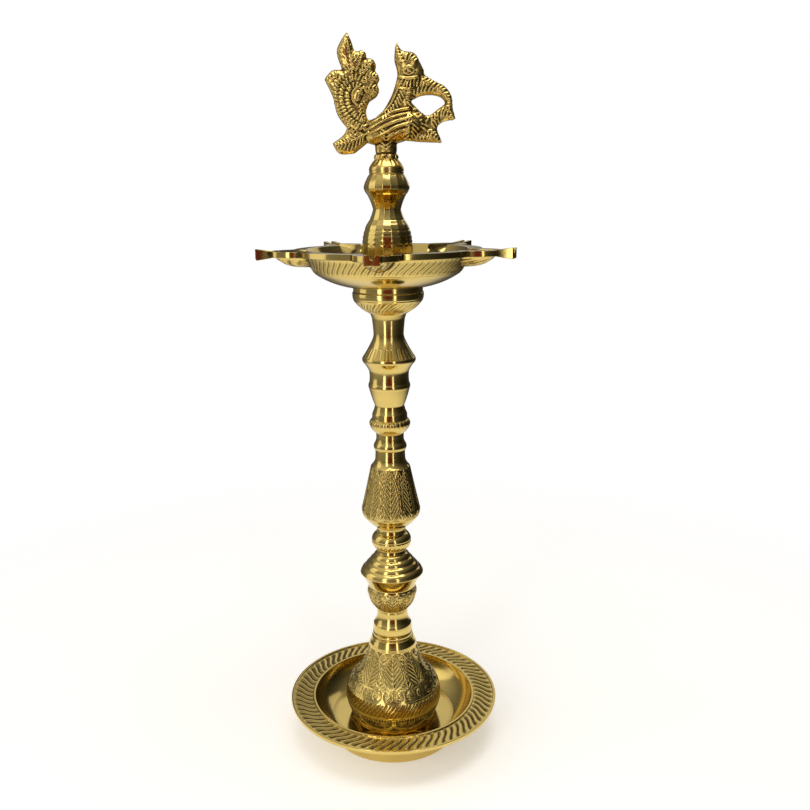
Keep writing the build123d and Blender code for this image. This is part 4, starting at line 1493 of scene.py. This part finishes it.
@dataclass
class Studio:
    """The plain pale floor, the soft lights and the camera."""

    lens: float = 39.0
    place: Triple = (0.0, -0.547, 0.362)
    pitch: float = 13.5
    roll: float = -0.78
    shift: float = 0.0190
    aim: Triple = (0.0, 0.0, 0.22)
    light_colour: Triple = (1.0, 0.97, 0.92)
    floor_colour: Triple = (0.93, 0.93, 0.92)
    floor_light: Triple = (1.0, 0.99, 0.97)
    floor_glow: float = 0.36
    floor_half: float = 1.6
    floor_fade: Point = (0.16, 0.62)
    rear_colour: Triple = (0.20, 0.035, 0.02)

    def add_floor(self) -> None:
        """Add the pale floor, which isn't part of the lamp and fades out far from it."""
        shape = bmesh.new()
        bmesh.ops.create_grid(shape, x_segments=8, y_segments=8, size=self.floor_half)
        floor = make_piece("studio_floor", shape)
        material = bpy.data.materials.new("studio_floor_pale")
        material.use_nodes = True
        tree = material.node_tree
        shader = wire(tree, tree.nodes["Principled BSDF"], {
            "Base Color": self.floor_colour,
            "Roughness": 0.9,
            "Emission Color": self.floor_light,
            "Emission Strength": self.floor_glow,
        })
        place = add_node(tree, "TexCoord").outputs["Object"]
        away = add_node(tree, "VectorMath", {0: place}, operation="LENGTH").outputs["Value"]
        near, far = self.floor_fade
        span = {"From Min": near, "From Max": far, "Value": away}
        fade = add_node(tree, "MapRange", span, interpolation_type="SMOOTHSTEP").outputs[0]
        clear = add_node(tree, "BsdfTransparent").outputs[0]
        blend = add_node(tree, "MixShader", {0: fade, 1: shader.outputs[0], 2: clear})
        wire(tree, tree.nodes["Material Output"], {0: blend.outputs[0]})
        floor.data.materials.append(material)

    def add_light(self, name: str, place: Triple, size: Point, glow: float) -> None:
        """Add a soft box that faces the lamp's middle, as bright as it glows."""
        data = bpy.data.lights.new(name, "AREA")
        data.shape = "RECTANGLE"
        data.size, data.size_y = size
        data.energy = glow * math.pi * size[0] * size[1]
        data.color = self.light_colour
        light = bpy.data.objects.new(name, data)
        light.location = place
        aim = Vector(self.aim) - Vector(place)
        light.rotation_euler = aim.to_track_quat("-Z", "Y").to_euler()
        bpy.context.scene.collection.objects.link(light)

    def add_lights(self) -> None:
        """Add the soft boxes at the sides, above and behind."""
        self.add_light("strip_left", (-0.45, -0.85, 0.42), (0.20, 1.2), 2.7)
        self.add_light("strip_right", (0.36, -0.90, 0.42), (0.11, 1.2), 2.4)
        self.add_light("soft_box_left", (-0.95, 0.0, 0.5), (0.5, 0.9), 0.8)
        self.add_light("soft_box_top", (0.1, -0.15, 1.15), (0.8, 0.5), 3.2)
        self.add_light("soft_box_back", (0.3, 0.95, 0.65), (1.0, 0.5), 0.6)

    def add_world(self) -> None:
        """Add the dim room that the metal reflects, seen as a white backdrop by the camera."""
        world = bpy.data.worlds.new("studio_room")
        bpy.context.scene.world = world
        world.use_nodes = True
        tree = world.node_tree
        place = add_node(tree, "TexCoord").outputs["Generated"]
        right, back, up = add_node(tree, "SeparateXYZ", {0: place}).outputs
        height = calc(tree, "ADD", calc(tree, "MULTIPLY", up, 0.5), 0.5)
        ramp = add_node(tree, "ValToRGB", {0: height})
        stops = (
            (0.0, 0.95), (0.18, 0.80), (0.34, 0.26), (0.50, 0.19), (0.64, 0.24), (0.78, 0.42),
            (1.0, 0.95),
        )
        while len(ramp.color_ramp.elements) < len(stops):
            ramp.color_ramp.elements.new(0.5)
        for element, (way, grey) in zip(ramp.color_ramp.elements, stops):
            element.position = way
            element.color = (grey, grey * 0.96, grey * 0.9, 1.0)
        front = calc(tree, "MULTIPLY", back, -1.0)
        behind = add_node(tree, "MapRange", {"From Min": 0.90, "From Max": 0.97, "Value": front})
        colour = mix(tree, behind.outputs[0], ramp.outputs[0], self.rear_colour)
        side = calc(tree, "ADD", calc(tree, "MULTIPLY", right, -0.62), 0.70)
        rear = calc(tree, "MULTIPLY", calc(tree, "MAXIMUM", back, 0.0), -0.5)
        strength = calc(tree, "MULTIPLY", side, calc(tree, "ADD", rear, 1.0))
        room = wire(tree, tree.nodes["Background"], {"Color": colour, "Strength": strength})
        white = add_node(tree, "Background", {"Color": (1.0, 1.0, 1.0), "Strength": 1.0})
        seen = add_node(tree, "LightPath").outputs["Is Camera Ray"]
        choice = add_node(tree, "MixShader", {0: seen, 1: room.outputs[0], 2: white.outputs[0]})
        wire(tree, tree.nodes["World Output"], {0: choice.outputs[0]})

    def add_camera(self) -> None:
        """Add the camera, in front of the lamp and a little above it."""
        data = bpy.data.cameras.new("camera")
        data.lens = self.lens
        data.sensor_width = 36.0
        data.shift_x = self.shift
        camera = bpy.data.objects.new("camera", data)
        look = Matrix.Rotation(math.radians(90.0 - self.pitch), 4, "X")
        turn = Matrix.Rotation(math.radians(self.roll), 4, "Z")
        camera.matrix_world = Matrix.Translation(self.place) @ look @ turn
        bpy.context.scene.collection.objects.link(camera)
        bpy.context.scene.camera = camera

    def build(self) -> None:
        """Make the studio."""
        self.add_floor()
        self.add_lights()
        self.add_world()
        self.add_camera()
        bpy.context.scene.view_settings.view_transform = "Standard"



def dress_kept_nodes() -> None:
    """Give the CAD nodes that stay their finishes."""
    kept = dict.fromkeys(("base_stud", "base_nut", "base_washer"), PLATED_STEEL)
    kept["dish_seal"] = SEAL_RUBBER
    for name, finish in kept.items():
        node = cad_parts[name]
        node.data.materials.clear()
        node.data.materials.append(finish.material())
        log.info("%s: kept, dressed in %s", name, finish.name)


def main() -> None:
    """Build the lamp's pieces in order, then the studio."""
    logging.basicConfig(level=logging.INFO, format="%(name)s %(message)s")
    make_turning_marks()
    make_tarnish()
    make_smears()
    Studio().build()
    BasePlate().build(POLISHED_BRASS)
    for section in turned_sections():
        section.build(POLISHED_BRASS)
    OilDish().build(POLISHED_BRASS)
    for name in ("pedestal_stud", "lower_stud", "baluster_stud", "post_stud"):
        Stud(name).build(STUD_BRASS)
    Stud("finial_stud", 1.0).build(STUD_BRASS)
    BirdSeat().build(CAST_BRASS)
    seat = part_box("bird_finial")[0].z / MM + LEGS_FOOT
    BirdFinial(bird_members(), bird_reliefs(), seat).build(CAST_BRASS)
    dress_kept_nodes()


if __name__ == "__main__":
    main()
